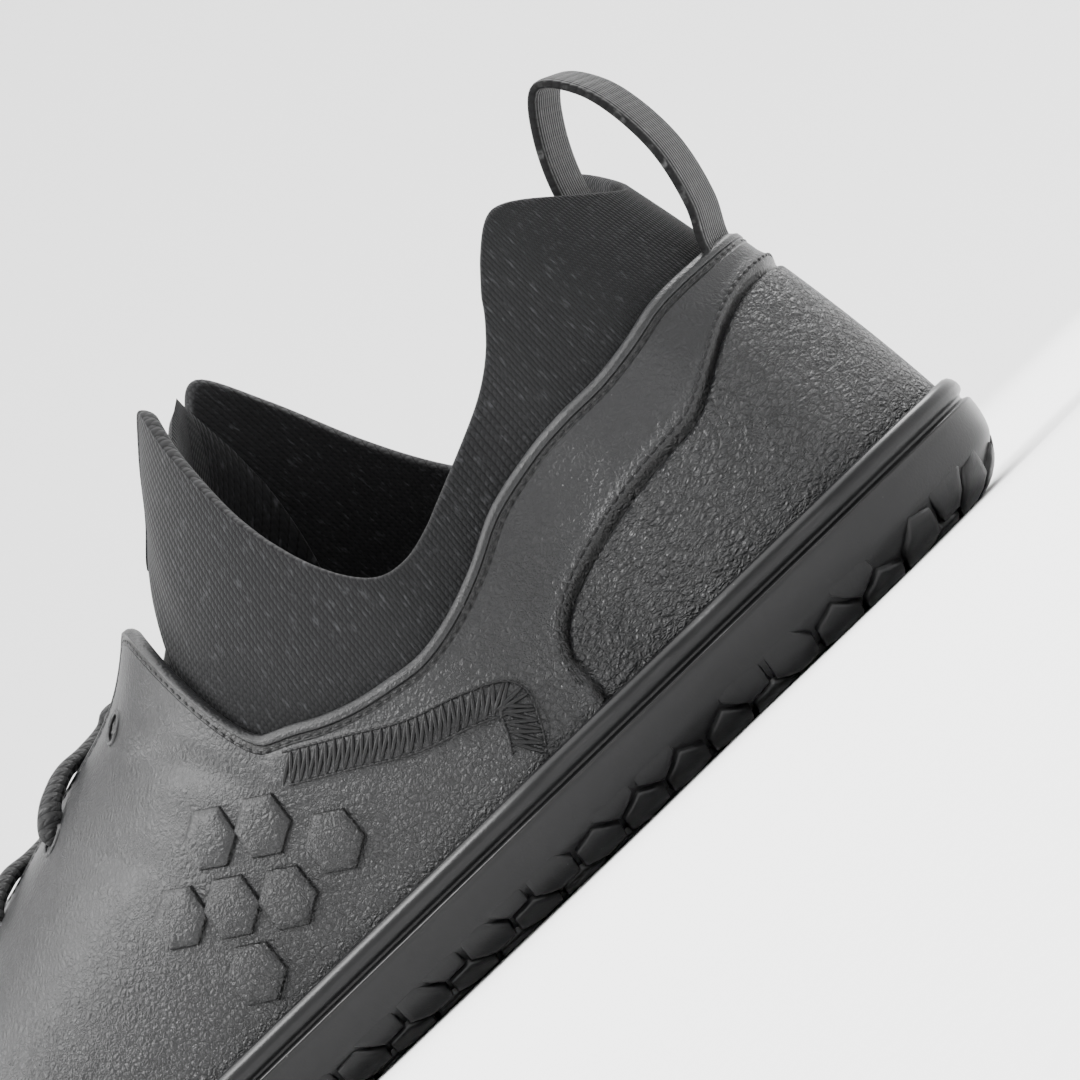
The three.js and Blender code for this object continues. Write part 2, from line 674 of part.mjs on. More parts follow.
// The counter's outline in a place round the heel and a level, with its edge moved out by a margin
function counterPath(margin) {
  const reach = COUNTER_REACH + margin;
  const lateral = outlineAt(reach, LATERAL);
  const medial = outlineAt(reach, MEDIAL);
  return (column, row) => {
    const u = column > 0 ? lateral * column : -medial * column;
    const s = Math.min(foot(u).s / reach, 1);
    const shoulder = (1 - s ** COUNTER_SQUARE) ** (1 / COUNTER_SQUARE);
    const rear = COUNTER_REAR * (1 - ease(0, COUNTER_REAR_END, foot(u).s / LENGTH));
    const low = LIP_HEIGHT + GAP - Math.max(margin, 0) * POCKET_DROP;
    const top = mix(LIP_HEIGHT + COUNTER_END, COUNTER_HEIGHT, shoulder) + rear + margin;
    return [u, mix(levelAt(u, low), levelAt(u, top), row)];
  };
}

function counterColumns() {
  return spread(-1, 1, COUNTER_STEPS).map((t) => Math.sin(t * Math.PI / 2));
}

function heelCounter() {
  return slab(counterColumns(), spread(0, 1, 3), false, counterPath(0), -COUNTER_PROUD, COUNTER_LEATHER);
}

// The step in the leather's wall that the counter lies in
function counterPocket() {
  const columns = counterColumns();
  return slab(columns, spread(0, 1, 3), false, counterPath(COUNTER_SEAM), -POCKET_REACH, COUNTER_LEATHER + GAP);
}

// The raised band, a strip along the rows of its table
function band() {
  const along = BAND.map((row) => ({ s: row.at * LENGTH, z: row.height * HEEL_HEIGHT }));
  const path = new THREE.SplineCurve(along.map((p) => new THREE.Vector2(p.s, p.z)));
  return slab(spread(0, 1, BAND_STEPS), [-0.5, 0.5], false, (t, side) => {
    const point = path.getPoint(t);
    const tangent = path.getTangent(t);
    const s = point.x - tangent.y * side * BAND_WIDTH;
    const z = point.y + tangent.x * side * BAND_WIDTH;
    const u = outlineAt(s, LATERAL);
    return [u, levelAt(u, z)];
  }, -BAND_RAISE, LEATHER / 2);
}

// One raised honeycomb cell on the little toe's side
function raisedCell(row) {
  const u = outlineAt(row.at * LENGTH, LATERAL);
  const level = levelAt(u, row.height * HEEL_HEIGHT) - 1;
  const centre = wallPoint(u, level);
  const normal = wallNormal(u, level);
  const along = new THREE.Vector3(0, 1, 0).projectOnPlane(normal).normalize();
  const across = normal.clone().cross(along);
  const ring = (reach, raise) => spread(0, 5, 5).map((k) => {
    const angle = -k * Math.PI / 3;
    return centre.clone()
      .addScaledVector(along, reach * Math.cos(angle))
      .addScaledVector(across, reach * Math.sin(angle))
      .addScaledVector(normal, raise);
  });
  const reach = CELL_SIZE / Math.sqrt(3);
  return rings([ring(reach, -LEATHER / 2), ring(reach, CELL_RAISE / 2), ring(reach - CELL_BEVEL, CELL_RAISE)]);
}

// The punched lace holes, as short rods through the leather
function eyelet(row, side) {
  const { point, normal } = overRidge(row * LENGTH, side * LACE_SPREAD / 2);
  const rod = new THREE.CylinderGeometry(EYELET / 2, EYELET / 2, 4 * LEATHER, 6);
  rod.applyQuaternion(new THREE.Quaternion().setFromUnitVectors(new THREE.Vector3(0, 1, 0), normal));
  rod.translate(point.x, point.y, point.z);
  return toSolid(welded(rod));
}

function upper() {
  let solid = toSolid(leatherShell()).subtract(toSolid(counterPocket()));
  solid = solid.add(toSolid(band()));
  CELLS.forEach((row) => {
    solid = solid.add(toSolid(raisedCell(row)));
  });
  LACE_ROWS.forEach((row) => {
    solid = solid.subtract(eyelet(row, LATERAL)).subtract(eyelet(row, MEDIAL));
  });
  return toGeometry(solid);
}

// The knitted collar, from behind the leather's edge up to its own edge round the ankle
function collar() {
  const lateral = outlineAt(COLLAR_FRONT * LENGTH, LATERAL);
  const medial = outlineAt(COLLAR_FRONT * LENGTH, MEDIAL);
  const columns = spread(medial, lateral, COLLAR_STEPS);
  const outerDepth = LEATHER + KNIT_GAP;
  return slab(columns, spread(0, 1, 5), false, (u, row) => {
    const edge = wallPoint(u, leatherTop(u) - 1).z - COLLAR_OVERLAP;
    return [u, mix(levelAt(u, edge), collarTop(u), row)];
  }, outerDepth, outerDepth + KNIT);
}

// The knitted tongue, along the ridge under the collar's front edges and the laces
function tongue() {
  const under = LEATHER + 1.5 * KNIT_GAP;
  const behind = under + KNIT + KNIT_GAP;
  const grid = (extra) => spread(-1, 1, 8).map((aside) => spread(0, 1, 10).map((back) => {
    const at = mix(TONGUE_TOP, TONGUE_FRONT, back);
    const depth = mix(behind, under, ease(TONGUE_PAST_COLLAR, LACE_ROWS[1], at)) + extra;
    const { point, normal } = overRidge(at * LENGTH, aside * TONGUE_WIDTH / 2);
    return point.addScaledVector(normal, -depth);
  }));
  return shell(grid(0), grid(KNIT), false);
}

// A geometry with its normals and uvs dropped and its shared corners merged
function welded(geometry) {
  geometry.deleteAttribute("normal");
  geometry.deleteAttribute("uv");
  return mergeVertices(geometry, 1e-4);
}

// A round cord along points
function cord(points, radius) {
  const section = new THREE.Shape().absarc(0, 0, radius, 0, 2 * Math.PI);
  const path = new THREE.CatmullRomCurve3(points);
  const options = { extrudePath: path, steps: points.length - 1, curveSegments: CORD_SIDES, bevelEnabled: false };
  return toSolid(welded(new THREE.ExtrudeGeometry(section, options)));
}

// The laces: a bar over the front holes, and crossings from each pair of holes to the next
function laces() {
  const over = (from, to, side) => spread(0, 1, LACE_STEPS).map((t) => {
    const { point, normal } = overRidge(mix(from, to, t) * LENGTH, side * LACE_SPREAD * (t - 0.5));
    return point.addScaledVector(normal, LACE / 2 + LACE_CLEAR);
  });
  const front = LACE_ROWS.length - 1;
  let solid = cord(over(LACE_ROWS[front], LACE_ROWS[front], LATERAL), LACE / 2);
  for (let i = 0; i < front; i += 1) {
    solid = solid.add(cord(over(LACE_ROWS[i], LACE_ROWS[i + 1], LATERAL), LACE / 2));
    solid = solid.add(cord(over(LACE_ROWS[i], LACE_ROWS[i + 1], MEDIAL), LACE / 2));
  }
  return toGeometry(solid);
}

// The pull loop: webbing from the leather's top edge at the heel, up and over, and down inside the collar
function pullLoop() {
  const rim = -skin(0, levelAt(0, HEEL_HEIGHT), LEATHER / 2).y;
  const lining = (z) => {
    return LOOP_CLEAR - skin(0, Math.min(levelAt(0, z), collarTop(0)), LEATHER + KNIT_GAP + KNIT).y;
  };
  const route = LOOP.map(({ inner, inward, up }) => {
    const z = mix(HEEL_HEIGHT, LOOP_HEIGHT, up);
    return new THREE.Vector2((inner ? lining(z) : rim) + inward, z);
  });
  const path = new THREE.SplineCurve(route);
  const side = (offset) => spread(0, 1, LOOP_STEPS).map((t) => {
    const tangent = path.getTangent(t);
    return path.getPoint(t).add(new THREE.Vector2(-tangent.y, tangent.x).multiplyScalar(offset));
  });
  const edge = new THREE.Shape([...side(WEBBING / 2), ...side(-WEBBING / 2).reverse()]);
  const strap = new THREE.ExtrudeGeometry(edge, { depth: WEBBING_WIDTH, steps: 1, bevelEnabled: false });
  strap.translate(0, 0, -WEBBING_WIDTH / 2);
  strap.applyMatrix4(new THREE.Matrix4().set(0, 0, -1, LOOP_SIDE, -1, 0, 0, 0, 0, 1, 0, 0, 0, 0, 0, 1));
  return toGeometry(toSolid(welded(strap)));
}

const model = new THREE.Group();

function piece(name, geometry, finish) {
  const mesh = new THREE.Mesh(geometry, new THREE.MeshStandardMaterial(finish));
  mesh.name = name;
  model.add(mesh);
}

piece("outsole", outsole(), colours.rubber);
piece("insole", insole(), colours.footbed);
piece("upper", upper(), colours.leather);
piece("heel_counter", heelCounter(), colours.pebbled);
piece("collar", collar(), colours.knit);
piece("tongue", tongue(), colours.knit);
piece("laces", laces(), colours.cord);
piece("pull_loop", pullLoop(), colours.webbing);

const box = new THREE.Box3().setFromObject(model);
const middle = box.getCenter(new THREE.Vector3());
model.position.set(-middle.x, -middle.y, -box.min.z);

const part = new THREE.Group();
part.add(model);

export default part;
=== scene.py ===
"""A left barefoot shoe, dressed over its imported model.

Every surface is worked out from the same last as the model's solids: a closed outline of the
sole, a spine of sections over it, and a wall that runs from each place on the outline up to the
spine. Lengths are in millimetres up to the last step, which puts them into meshes in metres.
"""

import math

import bpy
import numpy as np
from mathutils import Matrix, Vector


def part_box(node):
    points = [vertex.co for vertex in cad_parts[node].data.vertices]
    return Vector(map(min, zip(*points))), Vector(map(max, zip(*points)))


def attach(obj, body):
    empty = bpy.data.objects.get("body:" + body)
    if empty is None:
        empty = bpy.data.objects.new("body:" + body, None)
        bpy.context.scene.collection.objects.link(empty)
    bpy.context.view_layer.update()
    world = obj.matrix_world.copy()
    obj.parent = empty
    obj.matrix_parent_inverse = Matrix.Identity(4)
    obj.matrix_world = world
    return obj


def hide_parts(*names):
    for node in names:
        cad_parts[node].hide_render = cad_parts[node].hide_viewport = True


bl_info = {
    "name": "Barefoot shoe",
    "version": (1, 0, 0),
    "blender": (4, 5, 0),
    "location": "3D View > Sidebar > Shoe",
    "description": "Makes a left barefoot shoe with a knitted collar over its packed model",
    "category": "Add Mesh",
}

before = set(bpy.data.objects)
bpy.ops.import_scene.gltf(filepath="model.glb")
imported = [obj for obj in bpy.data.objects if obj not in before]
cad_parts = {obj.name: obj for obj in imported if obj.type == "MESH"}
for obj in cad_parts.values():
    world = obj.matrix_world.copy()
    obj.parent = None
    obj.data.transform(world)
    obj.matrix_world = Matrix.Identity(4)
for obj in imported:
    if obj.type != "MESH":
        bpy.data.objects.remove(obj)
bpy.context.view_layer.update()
MM = 0.001

# Sizes of the last, as in the model's source
LENGTH = 285.0
BALL_WIDTH = 104.0
HEEL_WIDTH = 76.0
INSTEP_HEIGHT = 78.0
TOE_HEIGHT = 40.0
HEEL_HEIGHT = 50.0
TOE_SPRING = 13.0
SOLE_FLOOR = 4.0
SOLE_WALL = 2.2
EDGE_WIDTH = 16.0
EDGE_HEIGHT = 11.5
LIP_HEIGHT = 15.5
ARCH_RISE = 1.6
HEX_PITCH = 7.8
GROOVE_DEPTH = 1.1
TREAD_START = 80.3
TREAD_SIDE = 4.3
LEATHER = 2.0
KNIT = 2.4
INSOLE = 3.0
GAP = 0.3
KNIT_GAP = 0.8
THROAT_WIDTH = 28.0
COUNTER_HEIGHT = 34.5
COUNTER_REACH = 51.5
COUNTER_REAR = 9.0
COUNTER_END = 2.0
COUNTER_POWER = 3.2
COLLAR_OVERLAP = 8.0
TONGUE_WIDTH = 46.0
LACE_SPREAD = 46.0
LOOP_HEIGHT = 83.0
LOOP_SIDE = 4.0
UPPER_TURN = 0.4
INSOLE_TURN = 0.35
HEEL_FOCUS = 0.126
THROAT_FRONT = 0.64
FOCUS_EASE = 0.045
COLLAR_FRONT = 0.365
TONGUE_TOP = 0.326
TONGUE_HIDDEN = 0.69
TONGUE_STRAIGHT = 0.6
TONGUE_SLOPE = 0.18
TONGUE_PAST_COLLAR = 0.38
EYESTAY_START = 0.325
EYESTAY_END = 0.4
WAIST_SWELL = 5.0
SWELL_START = 0.09
LACE_ROWS = (0.414, 0.484, 0.554, 0.614)
LATERAL = 1
MEDIAL = -1

# Sole outline, heel to toe. Widths are shares of a width between the heel's and the ball's, and
# the rounding of the bottom edge is a share of EDGE_WIDTH.
OUTLINE = (
    # at, ball, lateral, medial, edge lateral, edge medial
    (0.018, 0.0, 0.234, 0.192, 0.58, 0.58),
    (0.053, 0.0, 0.389, 0.368, 0.58, 0.56),
    (0.105, 0.0, 0.464, 0.487, 0.62, 0.5),
    (0.151, 0.0, 0.494, 0.515, 0.69, 0.5),
    (0.189, 0.1, 0.565, 0.49, 0.81, 0.5),
    (0.225, 0.25, 0.6, 0.445, 0.94, 0.5),
    (0.27, 0.4, 0.594, 0.39, 1.0, 0.5),
    (0.34, 0.55, 0.575, 0.334, 1.0, 0.5),
    (0.414, 0.7, 0.562, 0.299, 0.94, 0.5),
    (0.484, 0.8, 0.567, 0.295, 0.94, 0.5),
    (0.568, 0.9, 0.573, 0.332, 0.88, 0.56),
    (0.66, 1.0, 0.563, 0.401, 0.81, 0.62),
    (0.737, 1.0, 0.546, 0.45, 0.75, 0.62),
    (0.814, 1.0, 0.486, 0.462, 0.75, 0.62),
    (0.884, 1.0, 0.38, 0.442, 0.69, 0.62),
    (0.94, 1.0, 0.24, 0.38, 0.62, 0.62),
    (0.979, 1.0, 0.087, 0.279, 0.62, 0.62),
)
HEEL_TIP_SIDE = 0.04
TOE_TIP_SIDE = -0.106

# Spine, heel to toe. side is a share of BALL_WIDTH, height of a height between the instep's and
# the toe's, and square is the wall's power.
SPINE = (
    # at, side, toe, height, square
    (0.126, 0.025, 0.0, 1.69, 1.4),
    (0.21, 0.015, 0.0, 1.6, 1.45),
    (0.28, -0.005, 0.0, 1.44, 1.55),
    (0.35, 0.01, 0.0, 1.13, 1.75),
    (0.414, 0.03, 0.0, 0.9, 1.95),
    (0.484, 0.035, 0.0, 0.815, 2.0),
    (0.554, 0.02, 0.0, 0.75, 2.05),
    (0.639, -0.02, 0.3, 0.815, 2.2),
    (0.72, -0.05, 0.6, 0.9, 2.3),
    (0.8, -0.05, 0.85, 0.97, 2.4),
    (0.877, -0.05, 1.0, 1.0, 2.4),
    (1.0, -0.05, 1.0, 0.95, 2.4),
)

# Edges of the leather and of the knit round the ankle, as shares of HEEL_HEIGHT
TOPLINE = (
    # at, leather, collar
    (0.0, 1.0, 1.3),
    (0.035, 0.99, 1.46),
    (0.06, 0.96, 1.49),
    (0.088, 0.94, 1.42),
    (0.115, 0.94, 1.28),
    (0.14, 0.93, 1.16),
    (0.165, 0.89, 1.06),
    (0.185, 0.82, 1.0),
    (0.208, 0.76, 0.96),
    (0.232, 0.735, 1.0),
    (0.255, 0.75, 1.15),
    (0.276, 0.775, 1.4),
    (0.294, 0.81, 1.69),
    (0.309, 0.85, 1.88),
    (0.33, 0.9, 1.8),
    (0.352, 0.98, 1.65),
    (0.374, 1.1, 1.48),
)

# Raised band on the little toe's side and the raised cells in front of it, as shares of the
# length and of HEEL_HEIGHT
BAND = (
    # at, height
    (0.325, 0.79),
    (0.293, 0.7),
    (0.258, 0.6),
    (0.23, 0.55),
    (0.212, 0.5),
    (0.214, 0.42),
    (0.221, 0.345),
)
BAND_WIDTH = 4.6
CELLS = (
    # at, height
    (0.326, 0.55),
    (0.352, 0.72),
    (0.364, 0.53),
    (0.38, 0.8),
    (0.391, 0.62),
    (0.402, 0.44),
    (0.418, 0.7),
)
CELL_SIZE = 8.0

# Middle line of the pull loop. inner is 1 on the leg inside the collar, inward is in millimetres
# from the leather's edge or the lining, and up is a share of the loop's height over the leather.
LOOP = (
    # inner, inward, up
    (0, 1.2, -0.12),
    (0, 0.8, 0.025),
    (0, -2.0, 0.2),
    (0, -4.0, 0.5),
    (0, -2.2, 0.85),
    (0, 2.0, 1.0),
    (1, -3.6, 0.85),
    (1, 0.8, 0.5),
    (1, 0.3, 0.2),
    (1, 0.3, -0.11),
)
LOOP_CLEAR = 3.4

# Soft creases of the leather: where the middle of each lies, its half length along the shoe and
# up it, its slant and its depth, all in millimetres but the slant, which is in degrees
CREASES = (
    # distance from the heel, height, side, length, width, slant, depth
    (176.0, 46.0, 1, 16.0, 2.6, 62.0, 0.55),
    (188.0, 42.0, 1, 18.0, 3.0, 68.0, 0.6),
    (202.0, 38.0, 1, 15.0, 2.8, 74.0, 0.4),
    (178.0, 44.0, -1, 16.0, 2.8, 62.0, 0.5),
    (192.0, 40.0, -1, 18.0, 3.0, 68.0, 0.6),
    (206.0, 36.0, -1, 14.0, 2.6, 74.0, 0.4),
    (108.0, 52.0, 1, 12.0, 3.0, 35.0, 0.5),
    (128.0, 50.0, 1, 14.0, 3.4, 28.0, 0.45),
    (70.0, 30.0, -1, 14.0, 3.4, -30.0, 0.4),
    (124.0, 46.0, -1, 16.0, 3.6, 32.0, 0.5),
)


def column(table, index):
    return np.array([row[index] for row in table], float)


def ease(low, high, x):
    t = np.clip((np.asarray(x, float) - low) / (high - low), 0, 1)
    return t * t * (3 - 2 * t)


def mix(a, b, t):
    return a + (b - a) * t


def read(table, index, at):
    """A column of a table at shares of the length, by a cubic whose slopes join each row's neighbours."""
    places = column(table, 0)
    values = column(table, index)
    x = np.clip(at, places[0], places[-1])
    i = np.clip(np.searchsorted(places, x), 1, len(places) - 1)
    before = np.maximum(i - 2, 0)
    after = np.minimum(i + 1, len(places) - 1)
    span = places[i] - places[i - 1]
    t = (x - places[i - 1]) / span
    start = (values[i] - values[before]) / (places[i] - places[before]) * span
    end = (values[after] - values[i - 1]) / (places[after] - places[i - 1]) * span
    a = values[i - 1]
    b = values[i]
    return a + t * (start + t * (3 * (b - a) - 2 * start - end + t * (start + end - 2 * (b - a))))


def through(points, t, closed):
    """Centripetal Catmull-Rom curve through rows of points, at places counted in points."""
    points = np.asarray(points, float)
    count = len(points)
    i = np.floor(t).astype(int)
    if closed:
        a, b, c, d = (points[(i + k) % count] for k in (-1, 0, 1, 2))
    else:
        i = np.clip(i, 0, count - 2)
        padded = np.vstack((2 * points[0] - points[1], points, 2 * points[-1] - points[-2]))
        a, b, c, d = (padded[i + k] for k in (0, 1, 2, 3))
    f = (t - i)[:, None]
    gap_a = np.maximum(np.linalg.norm(b - a, axis=1) ** 0.5, 1e-6)[:, None]
    gap_b = np.maximum(np.linalg.norm(c - b, axis=1) ** 0.5, 1e-6)[:, None]
    gap_c = np.maximum(np.linalg.norm(d - c, axis=1) ** 0.5, 1e-6)[:, None]
    start = gap_b * ((b - a) / gap_a - (c - a) / (gap_a + gap_b) + (c - b) / gap_b)
    end = gap_b * ((c - b) / gap_b - (d - b) / (gap_b + gap_c) + (d - c) / gap_c)
    return b + f * (start + f * (3 * (c - b) - 2 * start - end + f * (start + end - 2 * (c - b))))


def evenly(points, count):
    """The same line with its points the same distance apart."""
    points = np.asarray(points, float)
    steps = np.linalg.norm(np.diff(points, axis=0), axis=1)
    along = np.concatenate(([0], np.cumsum(steps)))
    places = np.linspace(0, along[-1], count)
    return np.stack([np.interp(places, along, points[:, k]) for k in range(points.shape[1])], -1)


def make_outline():
    """The closed outline of the sole: u from 0 to 1 round it from the heel by the little toe's side,
    with x, the distance from the heel, the inward direction and the width of the bottom edge."""
    at = column(OUTLINE, 0)
    width = mix(HEEL_WIDTH, BALL_WIDTH, column(OUTLINE, 1))
    lateral = np.stack((column(OUTLINE, 2) * width, at * LENGTH), 1)
    medial = np.stack((-column(OUTLINE, 3) * width, at * LENGTH), 1)[::-1]
    heel = [[HEEL_TIP_SIDE * HEEL_WIDTH, 0]]
    toe = [[TOE_TIP_SIDE * BALL_WIDTH, LENGTH]]
    knots = np.vstack((heel, lateral, toe, medial))
    line = through(knots, np.linspace(0, len(knots), 9001)[:-1], True)
    line = evenly(np.vstack((line, line[:1])), 3001)[:-1]
    tangent = np.roll(line, -1, 0) - np.roll(line, 1, 0)
    tangent /= np.linalg.norm(tangent, axis=1)[:, None]
    u = np.arange(len(line)) / len(line)
    share = line[:, 1] / LENGTH
    edge = EDGE_WIDTH * np.where(u < 0.5, read(OUTLINE, 4, share), read(OUTLINE, 5, share))
    return u, line[:, 0], line[:, 1], -tangent[:, 1], tangent[:, 0], edge


OUTLINE_U, OUTLINE_X, OUTLINE_S, OUTLINE_NX, OUTLINE_NS, OUTLINE_EDGE = make_outline()
MIDDLE_X = (OUTLINE_X.min() + OUTLINE_X.max()) / 2
MIDDLE_S = (OUTLINE_S.min() + OUTLINE_S.max()) / 2
PERIMETER = len(OUTLINE_X) * np.hypot(OUTLINE_X[1] - OUTLINE_X[0], OUTLINE_S[1] - OUTLINE_S[0])


def foot(u):
    """x, distance from the heel, inward direction and edge width at places on the outline."""
    u = np.asarray(u, float)
    columns = (OUTLINE_X, OUTLINE_S, OUTLINE_NX, OUTLINE_NS, OUTLINE_EDGE)
    return [np.interp(u % 1, OUTLINE_U, values, period=1) for values in columns]


def outline_at(s, side):
    """The place on the outline at a distance from the heel, on one side."""
    s = np.asarray(s, float)
    half = OUTLINE_U < 0.5 if side == LATERAL else OUTLINE_U > 0.5
    order = np.argsort(OUTLINE_S[half])
    return np.interp(s, OUTLINE_S[half][order], OUTLINE_U[half][order])


def rise(s):
    return TOE_SPRING * np.maximum(s / LENGTH - 0.73, 0) ** 2 / 0.27**2


def arch_lift(x, s):
    along = ease(0.27, 0.4, s / LENGTH) * (1 - ease(0.48, 0.62, s / LENGTH))
    return ARCH_RISE * along * ease(0.04, 0.22, -x / BALL_WIDTH)


def spine_at(s):
    at = s / LENGTH
    ridge = mix(INSTEP_HEIGHT, TOE_HEIGHT, read(SPINE, 2, at))
    return BALL_WIDTH * read(SPINE, 1, at), ridge * read(SPINE, 3, at), read(SPINE, 4, at)


def towards_spine(s):
    """Holds a distance between the spine's ends, with a soft bend at each."""
    soft = FOCUS_EASE * LENGTH
    low = HEEL_FOCUS * LENGTH
    high = THROAT_FRONT * LENGTH
    near_low = s + (low + soft - s) ** 2 / (4 * soft)
    near_high = s - (s - high + soft) ** 2 / (4 * soft)
    held = np.clip(s, low, high)
    held = np.where(np.abs(s - low) < soft, near_low, held)
    return np.where(np.abs(s - high) < soft, near_high, held)


def point(x, s, z):
    return np.stack(np.broadcast_arrays(x, -s, z), -1)


def side_point(u, turn, wall, floor):
    """The sole's side: a quarter ellipse from under the sole, turn 0, to upright, turn 1."""
    x, s, nx, ns, edge = foot(u)
    angle = turn * math.pi / 2
    inset = edge * (1 - np.sin(angle)) + wall * np.sin(angle)
    away = s + ns * inset
    z = EDGE_HEIGHT * (1 - np.cos(angle)) + floor * np.cos(angle) + rise(away)
    return point(x + nx * inset, away, z)


def waist_swell(u, s, share):
    along = ease(0.22, 0.46, s / LENGTH) * (1 - ease(0.48, 0.7, s / LENGTH))
    above = np.clip((share - SWELL_START) / (1 - SWELL_START), 0, 1)
    return np.where(u % 1 > 0.5, WAIST_SWELL * along * np.sin(above * math.pi) ** 2, 0)


def wall_point(u, share):
    """The leather's outer face above the sole's edge: inward share 1 - (1 - h^n)^(1/n) of the way to
    the spine at share h of the ridge's height, where n is the section's power."""
    u, share = np.broadcast_arrays(np.asarray(u, float), np.asarray(share, float))
    x, s, nx, ns, _ = foot(u)
    inset = SOLE_WALL + GAP - waist_swell(u, s, share)
    x = x + nx * inset
    s = s + ns * inset
    target = towards_spine(s)
    spine_x, _, power = spine_at(target)
    inward = 1 - (1 - np.clip(share, 0, 1) ** power) ** (1 / power)
    along = mix(s, target, inward)
    z = mix(EDGE_HEIGHT, spine_at(along)[1], share) + rise(along)
    return point(mix(x, spine_x, inward), along, z)


def wall_normal(u, share):
    step = 1e-3
    u, share = np.broadcast_arrays(np.asarray(u, float), np.asarray(share, float))
    up = wall_point(u, np.clip(share + step, 0, 1)) - wall_point(u, np.clip(share - step, 0, 1))
    along = wall_point(u + step, share) - wall_point(u - step, share)
    normal = np.cross(up, along)
    return normal / np.linalg.norm(normal, axis=-1, keepdims=True)


def skin(u, level, depth):
    """The upper's skin. level is 0 under the foot, 1 at the sole's edge height and 2 at the ridge,
    and depth is measured inward from the leather's outer face."""
    u, level, depth = np.broadcast_arrays(*(np.asarray(v, float) for v in (u, level, depth)))
    turn = np.clip(level, 0, 1)
    low = side_point(u, turn, SOLE_WALL + GAP + depth, SOLE_FLOOR + GAP + depth)
    share = np.clip(level - 1, 0, 0.998)
    high = wall_point(u, share) - wall_normal(u, share) * depth[..., None]
    return np.where((level < 1)[..., None], low, high)


def level_at(u, height):
    """The level at which the leather's face reaches a height."""
    u, height = np.broadcast_arrays(np.asarray(u, float), np.asarray(height, float))
    low = np.zeros(u.shape)
    high = np.full(u.shape, 0.98)
    for _ in range(20):
        middle = (low + high) / 2
        beyond = wall_point(u, middle)[..., 2] > height
        high = np.where(beyond, middle, high)
        low = np.where(beyond, low, middle)
    return 1 + low


def throat_level(u):
    x, s, _, _, _ = foot(u)
    target = towards_spine(s)
    spine_x, _, power = spine_at(target)
    reach = np.hypot(x - spine_x, s - target) - SOLE_WALL - GAP
    left = np.clip(THROAT_WIDTH / 2 / reach, 0, 1)
    return 1 + (1 - left**power) ** (1 / power)


def leather_top(u):
    at = foot(u)[1] / LENGTH
    share = ease(EYESTAY_START, EYESTAY_END, at)
    return mix(level_at(u, HEEL_HEIGHT * read(TOPLINE, 1, at)), throat_level(u), share)


def collar_top(u):
    return level_at(u, HEEL_HEIGHT * read(TOPLINE, 2, foot(u)[1] / LENGTH))


def over_ridge(s, aside):
    """Places over the foot's ridge, a distance to one side of it: their u and share of the height."""
    s, aside = np.broadcast_arrays(np.asarray(s, float), np.asarray(aside, float))
    u = np.where(aside < 0, outline_at(s, MEDIAL), outline_at(s, LATERAL))
    x, _, nx, _, _ = foot(u)
    spine_x, _, power = spine_at(s)
    reach = np.abs(x + nx * (SOLE_WALL + GAP) - spine_x)
    left = np.clip(np.abs(aside) / reach, 0, 1)
    return u, np.minimum((1 - left**power) ** (1 / power), 0.998)


def under_skin(x, s, inward=False):
    """The height of the sole's outer skin over places in its plan, and how far inside the outline
    they are, in millimetres and as a share of the rounded edge; with inward, the way inward too."""
    shape = np.shape(x)
    x = np.ravel(x)
    s = np.ravel(s)
    coarse = slice(None, None, 3)
    inset = np.empty(x.shape)
    edge = np.empty(x.shape)
    nx = np.empty(x.shape)
    ns = np.empty(x.shape)
    for first in range(0, len(x), 4000):
        part = slice(first, first + 4000)
        dx = x[part, None] - OUTLINE_X[None, coarse]
        ds = s[part, None] - OUTLINE_S[None, coarse]
        best = np.argmin(dx**2 + ds**2, axis=1)
        rows = np.arange(len(best))
        nx[part] = OUTLINE_NX[coarse][best]
        ns[part] = OUTLINE_NS[coarse][best]
        inset[part] = dx[rows, best] * nx[part] + ds[rows, best] * ns[part]
        edge[part] = OUTLINE_EDGE[coarse][best]
    share = inset / edge
    rounded = EDGE_HEIGHT * (1 - np.sqrt(1 - np.clip(1 - share, 0, 1) ** 2))
    z = rounded + rise(s) + arch_lift(x, s) * np.clip(share, 0, 1)
    found = [z, inset, share] + ([nx, ns] if inward else [])
    return [values.reshape(shape) for values in found]


def arch_field(x, s):
    """How far a place is outside the smooth field under the arch, in millimetres."""
    along = (s / LENGTH - 0.438) / 0.175
    reach = np.sqrt(np.maximum(1 - along**2, 0))
    edge = BALL_WIDTH * mix(-0.27, -0.06, reach)
    return np.where(np.abs(along) < 1, x - edge, 100.0)


def nearest(points, line):
    """The distance from each point to the nearest point of a line, whatever the points' shape."""
    flat = points.reshape(-1, points.shape[-1])
    best = np.empty(len(flat))
    for first in range(0, len(flat), 4000):
        part = flat[first : first + 4000]
        gap = np.zeros((len(part), len(line)))
        for k in range(points.shape[-1]):
            gap += (part[:, None, k] - line[None, :, k]) ** 2
        best[first : first + 4000] = np.sqrt(gap.min(1))
    return best.reshape(points.shape[:-1])


